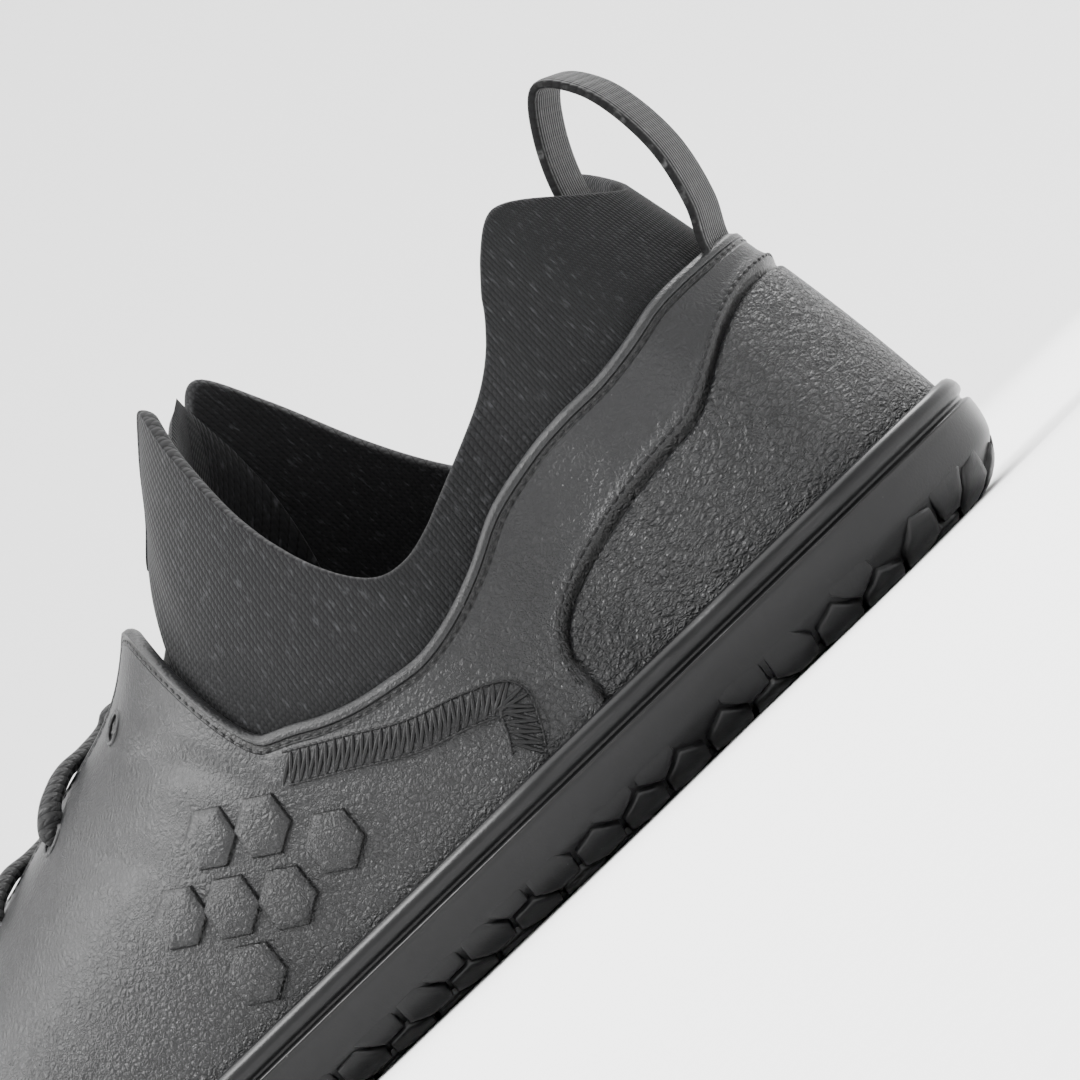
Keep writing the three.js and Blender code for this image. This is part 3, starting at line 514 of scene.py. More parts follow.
class Surface:
    """Gathers grids of points into one mesh."""

    def __init__(self, name, materials, values=()):
        self.name = name
        self.materials = materials
        self.names = values
        self.points = []
        self.quads = []
        self.maps = []
        self.values = {key: [] for key in values}
        self.finish = []
        self.smooth = []
        self.count = 0

    def grid(self, points, round=False, flip=False, material=0, smooth=True, uv=None, **values):
        """A grid, or a stack of equal grids, of points: rows, columns, and x, y and z. The face of each
        cell points along the rows' direction crossed with the columns'. round closes the columns."""
        points = np.asarray(points, float)
        if points.ndim == 3:
            points = points[None]
        stack, rows, columns = points.shape[:3]
        spans = columns if round else columns - 1
        i, j = np.meshgrid(np.arange(rows - 1), np.arange(spans), indexing="ij")
        k = (j + 1) % columns
        corners = (i * columns + j, i * columns + k, (i + 1) * columns + k, (i + 1) * columns + j)
        cell = np.stack(corners[::-1] if not flip else corners, -1).reshape(-1, 4)
        first = self.count + np.arange(stack)[:, None, None] * rows * columns
        self.quads.append((cell[None] + first).reshape(-1, 4))
        self.points.append(points.reshape(-1, 3))
        total = stack * rows * columns
        self.maps.append(np.zeros((total, 2)) if uv is None else self.spread(uv, points.shape[:3], 2))
        for key in self.names:
            value = values.get(key, 0.0)
            self.values[key].append(self.spread(value, points.shape[:3], 1).ravel())
        self.finish.append(np.full(stack * len(cell), material))
        self.smooth.append(np.full(stack * len(cell), smooth))
        self.count += total
        return self

    @staticmethod
    def spread(value, shape, width):
        value = np.asarray(value, float)
        if width == 2:
            return np.broadcast_to(value, (*shape, 2)).reshape(-1, 2)
        return np.broadcast_to(value, shape).reshape(-1, 1)

    def build(self, *nodes, slot):
        """Makes the object, which rides on the model's one body and stands for its nodes."""
        points = np.vstack(self.points)
        points = points + (-MIDDLE_X, MIDDLE_S, 0)
        quads = np.vstack(self.quads).astype(np.int32)
        mesh = bpy.data.meshes.new(self.name)
        mesh.vertices.add(len(points))
        mesh.vertices.foreach_set("co", (points * MM).ravel())
        mesh.loops.add(quads.size)
        mesh.loops.foreach_set("vertex_index", quads.ravel())
        mesh.polygons.add(len(quads))
        mesh.polygons.foreach_set("loop_start", np.arange(len(quads), dtype=np.int32) * 4)
        mesh.polygons.foreach_set("material_index", np.concatenate(self.finish).astype(np.int32))
        mesh.polygons.foreach_set("use_smooth", np.concatenate(self.smooth))
        maps = np.vstack(self.maps)[quads.ravel()]
        mesh.uv_layers.new(name="UVMap").data.foreach_set("uv", (maps * MM).ravel())
        for key in self.names:
            attribute = mesh.attributes.new(key, "FLOAT", "POINT")
            attribute.data.foreach_set("value", np.concatenate(self.values[key]).astype(np.float32))
        mesh.update()
        mesh.validate()
        for material in self.materials:
            mesh.materials.append(material)
        piece = bpy.data.objects.new(self.name, mesh)
        bpy.context.scene.collection.objects.link(piece)
        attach(piece, "root")
        if nodes:
            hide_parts(*nodes)
        return piece

# Round the sole's side: inset from the outline and height, from the top of the turned edge over
# the groove and the round lip to the inside
LIP = (
    (0.0, 11.0),
    (0.25, 11.4),
    (0.9, 11.7),
    (1.0, 11.95),
    (0.8, 12.3),
    (0.15, 12.7),
    (-0.1, 13.2),
    (-0.1, 13.9),
    (0.1, 14.6),
    (0.5, 15.2),
    (1.1, 15.5),
    (1.8, 15.4),
    (2.2, 15.0),
    (2.2, 12.5),
)
# Rings of one tread cell, from its foot in the groove to its middle: radius, depth below the
# tread's face on a plain cell, and how much of RECESS the ring takes on a cell with a hollow
CELL_RINGS = (
    (4.25, 1.3, 0.0),
    (4.02, 0.35, 0.0),
    (3.9, 0.1, 0.0),
    (3.72, 0.0, 0.0),
    (2.86, 0.0, 0.0),
    (2.66, 0.0, 0.25),
    (2.42, 0.0, 1.0),
    (1.2, 0.0, 1.0),
    (0.0, 0.0, 1.0),
)
RECESS = 0.6
# Shares of the rounded edge between which the grooves reach their full depth
GROOVE_FADE = (0.06, 0.34)
PLAIN_MARGIN = 2.5
ROUND_COUNTER = 0.8
COUNTER_GAP = 0.6


def around(count):
    return np.arange(count) / count


def ring_inside(u, inset, inward):
    """Places inside the outline: an inset from it, then a share of the way to the sole's middle line."""
    x, s, nx, ns, _ = foot(u)
    x = x + nx * inset
    s = s + ns * inset
    target = np.clip(s, HEEL_FOCUS * LENGTH, (1 - HEEL_FOCUS) * LENGTH)
    return mix(x, spine_at(target)[0], inward), mix(s, target, inward)


def groove_floor(x, s, share):
    """How deep the grooves' floor lies under the tread's face: none at the side and under the arch."""
    return GROOVE_DEPTH * ease(*GROOVE_FADE, share) * ease(0, 2.5, arch_field(x, s))


def sole_skin():
    """One closed grid round the sole: out from the middle underneath, up the side, over the lip and
    in again over the cup's floor. Underneath, z = rise + arch lift + groove depth."""
    u = around(600)
    edge = foot(u)[4]
    rows = []
    for inward in np.linspace(1, 0, 26):
        x, s = ring_inside(u, edge, inward)
        rows.append(point(x, s, rise(s) + arch_lift(x, s) + groove_floor(x, s, 1.0)))
    for turn in np.linspace(0, 0.972, 24)[1:]:
        place = side_point(u, turn, 0.0, 0.0)
        share = 1 - math.sin(turn * math.pi / 2)
        lift = arch_lift(place[:, 0], -place[:, 1]) * share
        place[:, 2] += lift + groove_floor(place[:, 0], -place[:, 1], share)
        rows.append(place)
    for inset, height in LIP:
        x, s, nx, ns, _ = foot(u)
        s = s + ns * inset
        rows.append(point(x + nx * inset, s, height + rise(s)))
    for turn in (0.9, 0.7, 0.4, 0.2, 0.0):
        rows.append(side_point(u, turn, SOLE_WALL, SOLE_FLOOR))
    for inward in (0.3, 0.65, 1.0):
        x, s = ring_inside(u, edge, inward)
        rows.append(point(x, s, SOLE_FLOOR + rise(s)))
    return np.array(rows)


def tread_cells():
    """The middles of the tread's cells, in rows half a cell apart, that lie under the sole."""
    rows = np.arange(-14, 34)[:, None]
    columns = np.arange(-9, 9)[None, :]
    s = TREAD_START + rows * HEX_PITCH * math.sqrt(3) / 2 + columns * 0
    x = TREAD_SIDE + (rows % 2) * HEX_PITCH / 2 + columns * HEX_PITCH
    x = x.ravel().astype(float)
    s = s.ravel().astype(float)
    _, inset, share = under_skin(x, s)
    kept = (share > 0.03) & (arch_field(x, s) > -1.0)
    return x[kept], s[kept], inset[kept], share[kept]


def tread_pads():
    """Hexagons under the sole: each ring of a cell follows the sole's skin, sunk by the ring's depth.
    The cells in the middle of the tread have a hollow in them."""
    x, s, inset, share = tread_cells()
    turn = np.arange(12) * math.pi / 6
    radius, depth, hollow = np.array(CELL_RINGS).T
    reach = radius[None, :, None] * np.where(np.arange(12) % 2 == 0, math.cos(math.pi / 6), 1.0)
    ring_x = x[:, None, None] + reach * np.cos(turn)
    ring_s = s[:, None, None] - reach * np.sin(turn)
    _, near, _, nx, ns = under_skin(ring_x, ring_s, True)
    back = np.maximum(0.5 - near, 0)
    ring_x = ring_x + nx * back
    ring_s = ring_s + ns * back
    z, near, share_here, nx, ns = under_skin(ring_x, ring_s, True)
    inner = (inset > inset / share + PLAIN_MARGIN).astype(float)
    hide = 0.25 * (1 - ease(0.03, 0.24, share_here)) + 0.3 * ease(1.5, 0, arch_field(ring_x, ring_s))
    sunk = np.minimum(depth[None, :, None], GROOVE_DEPTH + 0.2) + hide
    sunk = sunk + RECESS * inner[:, None, None] * hollow[None, :, None]
    lean = np.clip(1 - share_here, 0, 0.98)
    upright = np.sqrt(1 - lean**2)
    place = point(ring_x + nx * sunk * lean, ring_s + ns * sunk * lean, z + sunk * upright)
    hollow_cells = inner > 0
    return place[hollow_cells], place[~hollow_cells]


def counter_border():
    """The counter's edge as u round the sole times its perimeter, and height, from one end to the
    other over the heel."""
    first = outline_at(COUNTER_REACH, MEDIAL) - 1
    last = outline_at(COUNTER_REACH, LATERAL)
    u = np.linspace(first, last, 400)
    return u, counter_edge(u)


def counter_edge(u, reach=COUNTER_REACH):
    """The counter's top: a superellipse over the heel, raised a little at the back."""
    s = np.clip(foot(u)[1] / reach, 0, 1)
    shoulder = (1 - s**COUNTER_POWER) ** (1 / COUNTER_POWER)
    rear = COUNTER_REAR * (1 - ease(0, 0.075, foot(u)[1] / LENGTH))
    return mix(LIP_HEIGHT + COUNTER_END, COUNTER_HEIGHT, shoulder) + rear


def seam_distance(u, z):
    """Millimetres from the counter's edge, measured on the unrolled wall, less than 0 on the counter."""
    u = (u + 0.5) % 1 - 0.5
    line_u, line_z = counter_border()
    line = np.stack((line_u * PERIMETER, line_z), -1)
    ends = np.repeat(line[[0, -1]], 8, axis=0)
    ends[:, 1] = np.concatenate((np.linspace(8, line[0, 1], 8), np.linspace(8, line[-1, 1], 8)))
    line = np.vstack((line, ends))
    flat = np.stack((u * PERIMETER, z), -1)
    inside = (u > line_u[0]) & (u < line_u[-1]) & (z < np.interp(u, line_u, line_z))
    gap = nearest(flat, line)
    return np.where(inside, -gap, gap)


def crease(s, z, row):
    """A soft trough with a ridge along each side, (1 - 1.4 a^2) e^(-a^2) across and e^(-b^2) along."""
    middle_s, middle_z, _, length, width, slant, depth = row
    turn = math.radians(slant)
    along = (s - middle_s) * math.cos(turn) + (z - middle_z) * math.sin(turn)
    across = (z - middle_z) * math.cos(turn) - (s - middle_s) * math.sin(turn)
    bend = across + 0.02 * along**2
    a = (bend / width) ** 2
    return depth * (1 - 1.4 * a) * np.exp(-a) * np.exp(-((along / length) ** 2))


def band_line():
    """The middle line of the raised band, on the leather's face."""
    shares = through(np.array(BAND), np.linspace(0, len(BAND) - 1, 200), False)
    at = evenly(shares * (LENGTH, HEEL_HEIGHT), 240)
    u = outline_at(at[:, 0], LATERAL)
    level = level_at(u, at[:, 1])
    return u, level, skin(u, level, 0.0)


def eyelets():
    """u and share of the height of each lace hole."""
    s = np.repeat(np.array(LACE_ROWS) * LENGTH, 2)
    return over_ridge(s, np.tile((-LACE_SPREAD / 2, LACE_SPREAD / 2), len(LACE_ROWS)))


def upper_grid():
    """Leather, outer face: rows from under the foot to the edge, columns round the shoe, displaced
    inward by the counter's pocket, the creases and the lace holes, and outward by the band."""
    u = around(640)
    top = leather_top(u) - 1
    share = np.concatenate((np.linspace(0, 0.86, 58), np.linspace(0.86, 1, 22)[1:]))[:, None]
    high = 1 + mix(share * top, np.sin(share * np.arcsin(top)), 0.6)
    low = np.array((UPPER_TURN, 0.7, 0.92))[:, None] + 0 * top
    level = np.vstack((low, high))
    wide = np.broadcast_to(u, level.shape)
    face = skin(wide, level, 0.0)
    seam = seam_distance(wide, face[..., 2])
    edge = nearest(face, face[-1])
    holes = nearest(face, wall_point(*eyelets()))
    band = nearest(face, band_line()[2])
    depth = 0.85 * ease(0.35, -0.35, seam) * (level >= 1)
    depth -= 0.35 * ease(3.2, 1.0, seam) * ease(0.4, 0.8, seam)
    depth -= 0.3 * ease(BAND_WIDTH / 2 + 0.7, BAND_WIDTH / 2 - 0.3, band)
    depth += 1.3 * ease(2.1, 1.2, holes)
    depth -= 0.25 * ease(1.1, 0.7, edge)
    s = -face[..., 1]
    lateral = np.where(wide < 0.5, LATERAL, MEDIAL)
    calm = ease(1, 6, edge) * ease(9, 26, np.abs(face[..., 0]))
    for row in CREASES:
        depth += np.where(lateral == row[2], crease(s, face[..., 2], row), 0) * calm
    return wide, level, skin(wide, level, depth), seam, edge, holes


def rolled_edge(u, level, count=7):
    """Half a round over the leather's edge, from its outer to its inner face."""
    top = skin(u, level, 0.0)
    below = skin(u, level - 0.01, 0.0)
    up = (top - below) / np.linalg.norm(top - below, axis=-1, keepdims=True)
    rows = []
    for turn in np.linspace(0, math.pi, count + 2)[1:-1]:
        depth = LEATHER / 2 * (1 - math.cos(turn))
        rows.append(skin(u, level, depth) + up * math.sin(turn) * LEATHER / 2)
    return np.array(rows)


# A raised cell from its foot to its middle: share of its reach, and lift off the leather
CELL_PROFILE = (
    (1.06, -0.6),
    (1.03, 0.3),
    (1.0, 0.5),
    (0.95, 0.62),
    (0.86, 0.82),
    (0.8, 0.9),
    (0.36, 0.96),
    (0.0, 0.98),
)


def raised_cell(at, height):
    """One raised hexagon on the leather: rings from its foot to its middle, tilted along the shoe."""
    u = outline_at(at * LENGTH, LATERAL)
    level = level_at(u, height * HEEL_HEIGHT)
    middle = skin(u, level, 0.0)
    normal = wall_normal(u, level - 1)
    along = np.cross(normal, (0, 0, 1.0))
    along /= np.linalg.norm(along)
    up = np.cross(along, normal)
    turn = around(36) * 2 * math.pi
    corner = np.cos(math.pi / 6) / np.cos((turn + math.pi / 6) % (math.pi / 3) - math.pi / 6)
    rows = []
    for share, lift in CELL_PROFILE:
        reach = CELL_SIZE / math.sqrt(3) * share * corner[:, None]
        spread = (along * np.cos(turn)[:, None] + up * np.sin(turn)[:, None]) * reach
        rows.append(settle(middle + spread) + normal * lift)
    return np.array(rows)


def settle(places):
    """Moves places near the little toe's side of the leather onto it, at their own height."""
    u = outline_at(-places[..., 1], LATERAL)
    level = level_at(u, places[..., 2])
    moved = skin(u, level, 0.0)
    slide = -(moved[..., 1] - places[..., 1])
    u = outline_at(-places[..., 1] - slide, LATERAL)
    return skin(u, level_at(u, places[..., 2]), 0.0)


def counter_grid():
    """The counter's face: rows from behind the lip to its top, sinking round its edge as a quarter
    round, depth = sink (1 - sqrt(1 - (1 - d)^2)) at d of the rounding's width from the edge."""
    first = outline_at(COUNTER_REACH, MEDIAL) - 1
    last = outline_at(COUNTER_REACH, LATERAL)
    share = np.linspace(-1, 1, 260)
    share = np.sign(share) * (1 - (1 - np.abs(share)) ** 1.15)
    u = mix(first, last, (share + 1) / 2)
    top = counter_edge(u) - COUNTER_GAP
    rise_share = 1 - (1 - np.linspace(0, 1, 64)[:, None]) ** 1.5
    z = mix(LIP_HEIGHT - 2.5, top, rise_share)
    wide = np.broadcast_to(u, z.shape)
    end = np.minimum(u - first, last - u) * PERIMETER - COUNTER_GAP
    inside = np.minimum(top - z, end) / ROUND_COUNTER
    round_off = 1 - np.sqrt(1 - (1 - np.clip(inside, 0, 1)) ** 2)
    level = level_at(wide, z)
    return wide, z, skin(wide, level, mix(-0.3, 0.9, round_off)), -np.minimum(top - z, end)


def collar_columns(count):
    first = outline_at(COLLAR_FRONT * LENGTH, MEDIAL) - 1
    last = outline_at(COLLAR_FRONT * LENGTH, LATERAL)
    return np.linspace(first, last, count)


def collar_grid():
    """The knitted cuff: up its outer face, over a round edge and down the inside, pinched together at
    its two front ends. uv is millimetres round and up."""
    u = collar_columns(440)
    bottom = wall_point(u, leather_top(u) - 1)[:, 2] - COLLAR_OVERLAP
    low = level_at(u, bottom)
    high = collar_top(u)
    end = np.minimum(u - u[0], u[-1] - u) * PERIMETER
    full = np.sqrt(1 - (1 - np.clip(end / 3, 0, 1)) ** 2)
    middle = LEATHER + KNIT_GAP + KNIT / 2
    outer = np.linspace(0, 1, 58)
    turn = np.linspace(0, math.pi, 9)[1:-1]
    shares = np.concatenate((outer, np.ones(len(turn)), outer[::-1][::2]))
    sides = np.concatenate((-np.ones(58), -np.cos(turn), np.ones(29)))
    lifts = np.concatenate((np.zeros(58), np.sin(turn), np.zeros(29)))
    level = mix(low, high, shares[:, None])
    fold = 0.5 * np.exp(-((end / 9) ** 2)) * np.sin(end / 2.2)
    depth = middle + sides[:, None] * full * KNIT / 2 + fold
    wide = np.broadcast_to(u, level.shape)
    place = skin(wide, level, depth)
    place[..., 2] += lifts[:, None] * KNIT / 2
    height = place[..., 2]
    uv = np.stack((wide * PERIMETER, height), -1)
    return place, uv


def tongue_grid():
    """The tongue: rows from its rounded top to its front under the leather, columns round its section,
    whose half width and half thickness follow |cos|^0.35 and |sin|^0.5, thinning over its last 4 mm.
    From TONGUE_STRAIGHT on it runs straight on, falling by TONGUE_SLOPE."""
    at = np.linspace(TONGUE_TOP, TONGUE_HIDDEN, 150)[:, None]
    turn = around(112) * 2 * math.pi
    aside = np.sign(np.cos(turn)) * np.abs(np.cos(turn)) ** 0.35 * TONGUE_WIDTH / 2
    side = np.sign(np.sin(turn)) * np.abs(np.sin(turn)) ** 0.5
    s = at * LENGTH
    end = np.minimum(s - s[0], s[-1] - s)
    full = np.sqrt(1 - (1 - np.clip(end / 4, 0, 1)) ** 2)
    aside = aside * (0.5 + 0.5 * np.sqrt(1 - (1 - np.clip((s - s[0]) / 16, 0, 1)) ** 2))
    under = LEATHER + 1.5 * KNIT_GAP
    behind = under + KNIT + KNIT_GAP
    face = mix(behind, under, ease(TONGUE_PAST_COLLAR, LACE_ROWS[1], at))
    u, share = over_ridge(s + 0 * aside, aside + 0 * s)
    normal = wall_normal(u, share)
    middle = wall_point(u, share) - normal * (face + KNIT / 2)[..., None]
    row = np.searchsorted(at[:, 0], TONGUE_STRAIGHT)
    middle[row:] = middle[row] + (s[row:] - s[row])[..., None] * np.array((0, -1, -TONGUE_SLOPE))
    normal[row:] = normal[row]
    place = middle + normal * (side * KNIT / 2 * full)[..., None]
    return place, np.stack((aside + 0 * s, -s + 0 * aside), -1)


def over_leather(at, aside, lift):
    """Places over the throat: share of the length, distance to one side, and lift off the leather."""
    u, share = over_ridge(np.asarray(at) * LENGTH, np.asarray(aside, float))
    return wall_point(u, share) + wall_normal(u, share) * np.asarray(lift, float)[..., None]


def tube(path, across, width, height, count=14):
    """A closed tube along a path: its section is an ellipse, width along across and height along the
    path's direction crossed with it, rounded off at its ends."""
    path = np.asarray(path, float)
    ahead = np.gradient(path, axis=0)
    ahead /= np.linalg.norm(ahead, axis=1)[:, None]
    up = np.cross(ahead, across)
    up /= np.linalg.norm(up, axis=1)[:, None]
    flat = np.cross(up, ahead)
    run = np.concatenate(([0], np.cumsum(np.linalg.norm(np.diff(path, axis=0), axis=1))))
    end = np.minimum(run, run[-1] - run) / (height / 2)
    full = np.sqrt(1 - (1 - np.clip(end, 0, 1)) ** 2)[:, None, None]
    turn = around(count)[None, :, None] * 2 * math.pi
    ring = flat[:, None] * np.cos(turn) * width / 2 + up[:, None] * np.sin(turn) * height / 2
    uv = np.stack(np.broadcast_arrays(run[:, None], around(count)[None, :] * (width + height) * 1.5), -1)
    return path[:, None] + ring * full, uv

# Laces: how far to one side each point of a crossing lies, and its lift off the leather. A crossing
# leaves its hole, passes over the leather's edge and dives under the flap opposite.
OVER_ASIDE = (23, 21.5, 19, 16, 13, 9, 4, 0, -5, -9, -12, -15, -19, -23)
OVER_LIFT = (-1.8, 0.6, 1.7, 1.9, 1.7, 0.4, -0.7, -0.8, -0.8, -1.2, -2.2, -3.2, -3.5, -3.5)
UNDER_LIFT = (-3.5, -3.5, -3.3, -3.2, -2.4, -1.3, -0.9, -0.8, -0.9, -1.3, -2.4, -3.2, -3.5, -3.5)
BAR_ASIDE = (23, 21.5, 19, 16, 12, 6, 0, -6, -12, -16, -19, -21.5, -23)
BAR_LIFT = (-1.8, 0.6, 1.7, 1.9, 1.7, 1.3, 1.2, 1.3, 1.7, 1.9, 1.7, 0.6, -1.8)
LACE_WIDTH = 4.7
WEBBING_SPREAD = 1.0
WEBBING_THICKNESS = 1.5
LACE_END_ASIDE = 23.0
EDGE_SEAM = 1.35
COUNTER_SEAM = 1.3
LACE_HEIGHT = 2.5


def lace(first, last, asides, lifts, side, extra=0.0):
    """One lace from a row of holes to another, as a flattened tube along a smooth path."""
    aside = np.array(asides, float) * side
    at = mix(first, last, (aside[0] - aside) / (aside[0] - aside[-1]))
    middle = np.exp(-((aside / 5.0) ** 2))
    places = over_leather(at, aside, np.array(lifts) + extra * middle)
    path = through(places, np.linspace(0, len(places) - 1, 320), False)
    path = evenly(path, 110)
    slope = np.gradient(path, axis=0)
    up = np.array((0, 0.25, 1.0))
    across = np.cross(slope, up)
    return tube(path, across, LACE_WIDTH, LACE_HEIGHT)


def loop_path():
    """The middle line of the pull loop, from inside the leather's edge round to the collar's lining."""
    bottom = -skin(0.0, level_at(0.0, HEEL_HEIGHT), LEATHER / 2)[1]
    places = []
    for inner, inward, up in LOOP:
        z = mix(HEEL_HEIGHT, LOOP_HEIGHT, up)
        deep = LEATHER + KNIT_GAP + KNIT
        lining = LOOP_CLEAR - skin(0.0, min(level_at(0.0, z), collar_top(0.0)), deep)[1]
        places.append((LOOP_SIDE, -((lining if inner else bottom) + inward), z))
    return evenly(through(places, np.linspace(0, len(places) - 1, 300), False), 150)


def webbing(path, width, thickness, count=40):
    """A flat strap along a path in a plane across the shoe: its section follows |cos|^0.12 and
    |sin|^0.5, so that its faces are flat and its edges round."""
    ahead = np.gradient(path, axis=0)
    ahead /= np.linalg.norm(ahead, axis=1)[:, None]
    side = np.array((1.0, 0, 0))
    up = np.cross(ahead, side)
    turn = around(count) * 2 * math.pi
    wide = np.sign(np.cos(turn)) * np.abs(np.cos(turn)) ** 0.35 * width / 2
    high = np.sign(np.sin(turn)) * np.abs(np.sin(turn)) ** 0.6 * thickness / 2
    ring = side * wide[None, :, None] + up[:, None] * high[None, :, None]
    run = np.concatenate(([0], np.cumsum(np.linalg.norm(np.diff(path, axis=0), axis=1))))
    uv = np.stack(np.broadcast_arrays(wide[None, :], run[:, None]), -1)
    return path[:, None] + ring, uv


def insole_grid():
    """The footbed: in under its bottom, up its turned edge and in over its top."""
    u = around(320)
    edge = foot(u)[4]
    rows = []
    for inward in (1.0, 0.6, 0.3):
        x, s = ring_inside(u, edge, inward)
        rows.append(point(x, s, SOLE_FLOOR + GAP + rise(s)))
    for turn in (0.0, 0.15, 0.25, INSOLE_TURN):
        rows.append(side_point(u, turn, SOLE_WALL + GAP, SOLE_FLOOR + GAP))
    for turn in (INSOLE_TURN, 0.25, 0.12, 0.0):
        rows.append(side_point(u, turn, SOLE_WALL + GAP + INSOLE, SOLE_FLOOR + GAP + INSOLE))
    for inward in np.linspace(0, 1, 20)[1:]:
        x, s = ring_inside(u, edge, inward)
        rows.append(point(x, s, SOLE_FLOOR + GAP + INSOLE + rise(s)))
    return np.array(rows)


def capsules(middle, ahead, up, length, width, height, rings=5, count=8):
    """Stitches: small ellipsoids along their threads, sin across their rings and cos along them."""
    ahead = ahead / np.linalg.norm(ahead, axis=1)[:, None]
    across = np.cross(up, ahead)
    across /= np.linalg.norm(across, axis=1)[:, None]
    up = np.cross(ahead, across)
    slice_turn = np.linspace(0, math.pi, rings)
    turn = around(count) * 2 * math.pi
    far = -np.cos(slice_turn)[None, :, None, None] * ahead[:, None, None] * length / 2
    wide = (np.sin(slice_turn)[:, None] ** 0.6) * np.cos(turn)
    high = (np.sin(slice_turn)[:, None] ** 0.6) * np.sin(turn)
    side = wide[None, :, :, None] * across[:, None, None] * width / 2
    lift = high[None, :, :, None] * up[:, None, None] * height / 2
    return middle[:, None, None] + far + side + lift


def stitch_row(line, normal, pitch, length):
    """Places and directions of stitches along a line, each with the leather's outward direction."""
    run = np.concatenate(([0], np.cumsum(np.linalg.norm(np.diff(line, axis=0), axis=1))))
    places = np.arange(pitch, run[-1] - pitch, pitch)
    middle = np.stack([np.interp(places, run, line[:, k]) for k in range(3)], -1)
    out = np.stack([np.interp(places, run, normal[:, k]) for k in range(3)], -1)
    before = np.stack([np.interp(places - length / 2, run, line[:, k]) for k in range(3)], -1)
    after = np.stack([np.interp(places + length / 2, run, line[:, k]) for k in range(3)], -1)
    return middle, after - before, out


def beside_edge(distance, first=0.0, last=1.0, count=1600):
    """The line on the leather a distance from its top edge, from one place on the outline to another."""
    u = np.linspace(first, last, count)
    top = leather_top(u)
    face = skin(u, top, 0.0)
    down = face - skin(u, top - 0.005, 0.0)
    speed = np.linalg.norm(down, axis=1)
    ahead = np.gradient(face, axis=0)
    slant = np.linalg.norm(np.cross(down / speed[:, None], ahead), axis=1) / np.linalg.norm(ahead, axis=1)
    level = top - distance * 0.005 / (speed * np.maximum(slant, 0.4))
    return skin(u, level, 0.05), wall_normal(u, level - 1)


def beside_counter(distance, lift):
    """The line on the leather a distance outside the counter's edge, and its outward directions."""
    u, z = counter_border()
    flat = np.stack((u * PERIMETER, z), -1)
    ahead = np.gradient(flat, axis=0)
    ahead /= np.linalg.norm(ahead, axis=1)[:, None]
    flat = flat + np.stack((-ahead[:, 1], ahead[:, 0]), -1) * distance
    shown = flat[:, 1] > LIP_HEIGHT - 0.5
    u = flat[shown, 0] / PERIMETER
    level = level_at(u, flat[shown, 1])
    return skin(u, level, -lift), wall_normal(u, level - 1)


def band_threads():
    """Satin stitches across the raised band, slanted one way and the other in turn."""
    u, level, line = band_line()
    normal = wall_normal(u, level - 1)
    line = line + normal * 0.32
    middle, ahead, out = stitch_row(line, normal, 0.72, 1.0)
    ahead /= np.linalg.norm(ahead, axis=1)[:, None]
    across = np.cross(out, ahead)
    slant = np.where(np.arange(len(middle)) % 2 == 0, 0.55, 0.25)[:, None]
    return middle, across + ahead * slant, out, line, normal


def settings():
    return bpy.context.scene.barefoot_shoe


def node(tree, kind, inputs=(), **values):
    """Adds a shader node, sets its values and wires or sets its inputs."""
    made = tree.nodes.new(kind)
    for key, value in values.items():
        setattr(made, key, value)
    for key, value in dict(inputs).items():
        if isinstance(value, bpy.types.NodeSocket):
            tree.links.new(value, made.inputs[key])
        else:
            made.inputs[key].default_value = value
    return made


def maths(tree, operation, *values, clamp=False):
    made = node(tree, "ShaderNodeMath", enumerate(values), operation=operation, use_clamp=clamp)
    return made.outputs[0]


def between(tree, value, low, high, bottom=0.0, top=1.0):
    """A smooth step of a value between two limits."""
    inputs = {"Value": value, "From Min": low, "From Max": high, "To Min": bottom, "To Max": top}
    made = node(tree, "ShaderNodeMapRange", inputs, interpolation_type="SMOOTHSTEP")
    return made.outputs["Result"]


def blended(tree, share, a, b):
    """A mix of two colours."""
    made = node(tree, "ShaderNodeMix", data_type="RGBA")
    for index, value in ((0, share), (6, a), (7, b)):
        if isinstance(value, bpy.types.NodeSocket):
            tree.links.new(value, made.inputs[index])
        else:
            made.inputs[index].default_value = value
    return made.outputs[2]


def new_group(name, inputs, outputs):
    """A new shader node group with its sockets, and the sockets of its input and output nodes."""
    group = bpy.data.node_groups.new(name, "ShaderNodeTree")
    for key, kind, value in inputs:
        socket = group.interface.new_socket(name=key, in_out="INPUT", socket_type=kind)
        if value is not None:
            socket.default_value = value
    for key in outputs:
        group.interface.new_socket(name=key, in_out="OUTPUT", socket_type="NodeSocketFloat")
    return group, group.nodes.new("NodeGroupInput").outputs, group.nodes.new("NodeGroupOutput").inputs


